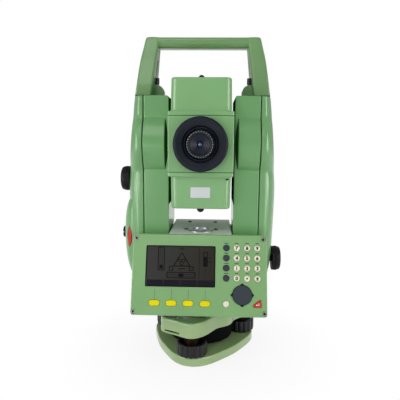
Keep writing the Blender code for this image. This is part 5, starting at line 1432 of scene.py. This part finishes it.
# Stage
def make_floor():
    """Pale floor that carries the soft shadow and fades to white away from the instrument."""
    bm = bmesh.new()
    bmesh.ops.create_grid(bm, x_segments=1, y_segments=1, size=4000.0)
    tree, place = fresh("pale_floor_paper")
    shade = add(tree, "ShaderNodeBsdfDiffuse", {"Color": (0.9, 0.9, 0.9, 1.0)})
    glow = add(tree, "ShaderNodeEmission", {"Color": WHITE, "Strength": 1.0})
    path = add(tree, "ShaderNodeLightPath").outputs
    flat = add(tree, "ShaderNodeVectorMath", {0: place}, operation="LENGTH").outputs["Value"]
    seen = combine(tree, "MAXIMUM", path["Is Camera Ray"], path["Is Glossy Ray"])
    seen = combine(tree, "MAXIMUM", seen, path["Is Transmission Ray"])
    share = combine(tree, "MULTIPLY", seen, remap(tree, flat, 0.05, 0.17, 0.86, 1.0))
    mixed = add(tree, "ShaderNodeMixShader", {0: share, 1: shade.outputs[0], 2: glow.outputs[0]})
    add(tree, "ShaderNodeOutputMaterial", {"Surface": mixed.outputs[0]})
    floor = solid("pale_floor", bm, "pale_floor_paper")
    floor.location.z = -FLOOR_GAP


def make_world():
    """White to the camera and a soft light to the instrument."""
    world = bpy.data.worlds.new("studio")
    bpy.context.scene.world = world
    world.use_nodes = True
    tree = world.node_tree
    tree.nodes.clear()
    soft = add(tree, "ShaderNodeBackground", {"Color": WHITE, "Strength": SKY_POWER})
    white = add(tree, "ShaderNodeBackground", {"Color": WHITE, "Strength": 1.0})
    path = add(tree, "ShaderNodeLightPath").outputs["Is Camera Ray"]
    mixed = add(tree, "ShaderNodeMixShader", {0: path, 1: soft.outputs[0], 2: white.outputs[0]})
    add(tree, "ShaderNodeOutputWorld", {"Surface": mixed.outputs[0]})


def make_stage():
    """Floor, soft light and the camera at the photograph's place."""
    scene = bpy.context.scene
    scene.view_settings.view_transform = "Standard"
    make_floor()
    make_world()
    for name, place, wide, tall, power, lights in LAMPS:
        light = bpy.data.lights.new(name, "AREA")
        light.shape = "RECTANGLE"
        light.size = wide
        light.size_y = tall
        light.energy = power
        lamp = bpy.data.objects.new(name, light)
        scene.collection.objects.link(lamp)
        lamp.location = place
        lamp.visible_diffuse = lights
        lamp.visible_camera = lights
        lamp.rotation_euler = (LAMP_AIM - Vector(place)).to_track_quat("-Z", "Y").to_euler()
    lens = bpy.data.cameras.new("photo_camera")
    lens.lens = CAMERA_LENS
    lens.sensor_width = CAMERA_SENSOR
    camera = bpy.data.objects.new("photo_camera", lens)
    scene.collection.objects.link(camera)
    pan, pitch, roll = [math.radians(angle) for angle in CAMERA_TURNS]
    turn = Matrix.Rotation(pan, 4, "Z") @ Matrix.Rotation(pitch, 4, "X") @ Matrix.Rotation(roll, 4, "Z")
    camera.matrix_world = Matrix.Translation(CAMERA_PLACE) @ turn
    scene.camera = camera


# Operators
class STATION_OT_finishes(bpy.types.Operator):
    """Make the materials of every finish"""

    bl_idname = "station.finishes"
    bl_label = "Finishes"

    def execute(self, context):
        make_finishes(context.scene.station_colours)
        dress_hidden_nodes()
        return {"FINISHED"}


class STATION_OT_tribrach(bpy.types.Operator):
    """Base plate, body, housing, flange, clamp and level of the tribrach"""

    bl_idname = "station.tribrach"
    bl_label = "Tribrach"

    def execute(self, context):
        make_base_plate()
        make_tribrach_body()
        make_tribrach_round_parts()
        level = ("tribrach_level", "tribrach", "axis_steel", "turned_steel")
        make_round_level("tribrach_bubble", LEVEL_PLACE, LEVEL_R, *level)
        return {"FINISHED"}


class STATION_OT_foot_screws(bpy.types.Operator):
    """Three fluted foot screws with their threads"""

    bl_idname = "station.foot_screws"
    bl_label = "Foot screws"

    def execute(self, context):
        for label, place in zip(("front", "right", "left"), FOOT_PLACES):
            make_foot_screw(label, place, context.scene.station_sizes)
        return {"FINISHED"}


class STATION_OT_standards(bpy.types.Operator):
    """Casting of the standards, its covers and the deck with the level"""

    bl_idname = "station.standards"
    bl_label = "Standards and covers"

    def execute(self, context):
        make_frame(context.scene.station_sizes.edge / MM)
        make_covers()
        make_deck()
        return {"FINISHED"}


class STATION_OT_keyboard(bpy.types.Operator):
    """Keyboard case, face and display"""

    bl_idname = "station.keyboard"
    bl_label = "Keyboard and display"

    def execute(self, context):
        make_keyboard_case()
        make_display()
        return {"FINISHED"}


class STATION_OT_keys(bpy.types.Operator):
    """Every key with its print"""

    bl_idname = "station.keys"
    bl_label = "Keys"

    def execute(self, context):
        sizes = context.scene.station_sizes
        for key in key_list():
            make_key(*key, sizes)
        make_key_details(sizes.key_rise / MM)
        return {"FINISHED"}


class STATION_OT_handle(bpy.types.Operator):
    """Carrying handle and its screws"""

    bl_idname = "station.handle"
    bl_label = "Carrying handle"

    def execute(self, context):
        make_handle()
        return {"FINISHED"}


class STATION_OT_battery(bpy.types.Operator):
    """Battery, its door, the latch and the lock"""

    bl_idname = "station.battery"
    bl_label = "Battery and door"

    def execute(self, context):
        make_battery_door()
        return {"FINISHED"}


class STATION_OT_telescope(bpy.types.Operator):
    """Telescope block, covers, sights, rings and lenses"""

    bl_idname = "station.telescope"
    bl_label = "Telescope"

    def execute(self, context):
        sizes = context.scene.station_sizes
        make_telescope(sizes.edge / MM)
        make_optics(sizes)
        return {"FINISHED"}


class STATION_OT_drives(bpy.types.Operator):
    """Endless drive knobs on both sides"""

    bl_idname = "station.drives"
    bl_label = "Drive knobs"

    def execute(self, context):
        ribs = context.scene.station_sizes.drive_ribs
        make_drive_knob("vertical_drive_knob", *VERTICAL_DRIVE, LEFT, ribs)
        make_drive_knob("horizontal_drive_knob", *HORIZONTAL_DRIVE, RIGHT, ribs)
        return {"FINISHED"}


class STATION_OT_stage(bpy.types.Operator):
    """Floor, lights and camera"""

    bl_idname = "station.stage"
    bl_label = "Stage"

    def execute(self, context):
        make_stage()
        return {"FINISHED"}


STEPS = (
    STATION_OT_finishes, STATION_OT_tribrach, STATION_OT_foot_screws, STATION_OT_standards,
    STATION_OT_keyboard, STATION_OT_keys, STATION_OT_handle, STATION_OT_battery, STATION_OT_telescope,
    STATION_OT_drives, STATION_OT_stage,
)


class STATION_PT_sidebar(bpy.types.Panel):
    """Sidebar list of the instrument's pieces and finishes"""

    bl_idname = "STATION_PT_sidebar"
    bl_label = "Total station"
    bl_space_type = "VIEW_3D"
    bl_region_type = "UI"
    bl_category = "Station"

    def draw(self, context):
        for step in STEPS:
            self.layout.operator(step.bl_idname)
        for group in (context.scene.station_colours, context.scene.station_sizes):
            column = self.layout.column()
            for name in group.__annotations__:
                column.prop(group, name)


CLASSES = (StationColours, StationSizes, *STEPS, STATION_PT_sidebar)


def register():
    """Register the classes and hang the settings on the scene."""
    for item in CLASSES:
        bpy.utils.register_class(item)
    bpy.types.Scene.station_colours = PointerProperty(type=StationColours)
    bpy.types.Scene.station_sizes = PointerProperty(type=StationSizes)


def unregister():
    """Undo register."""
    del bpy.types.Scene.station_sizes
    del bpy.types.Scene.station_colours
    for item in reversed(CLASSES):
        bpy.utils.unregister_class(item)


def main():
    """Build every piece in order."""
    register()
    bpy.ops.station.finishes()
    bpy.ops.station.tribrach()
    bpy.ops.station.foot_screws()
    bpy.ops.station.standards()
    bpy.ops.station.keyboard()
    bpy.ops.station.keys()
    bpy.ops.station.handle()
    bpy.ops.station.battery()
    bpy.ops.station.telescope()
    bpy.ops.station.drives()
    bpy.ops.station.stage()


if __name__ == "__main__":
    main()
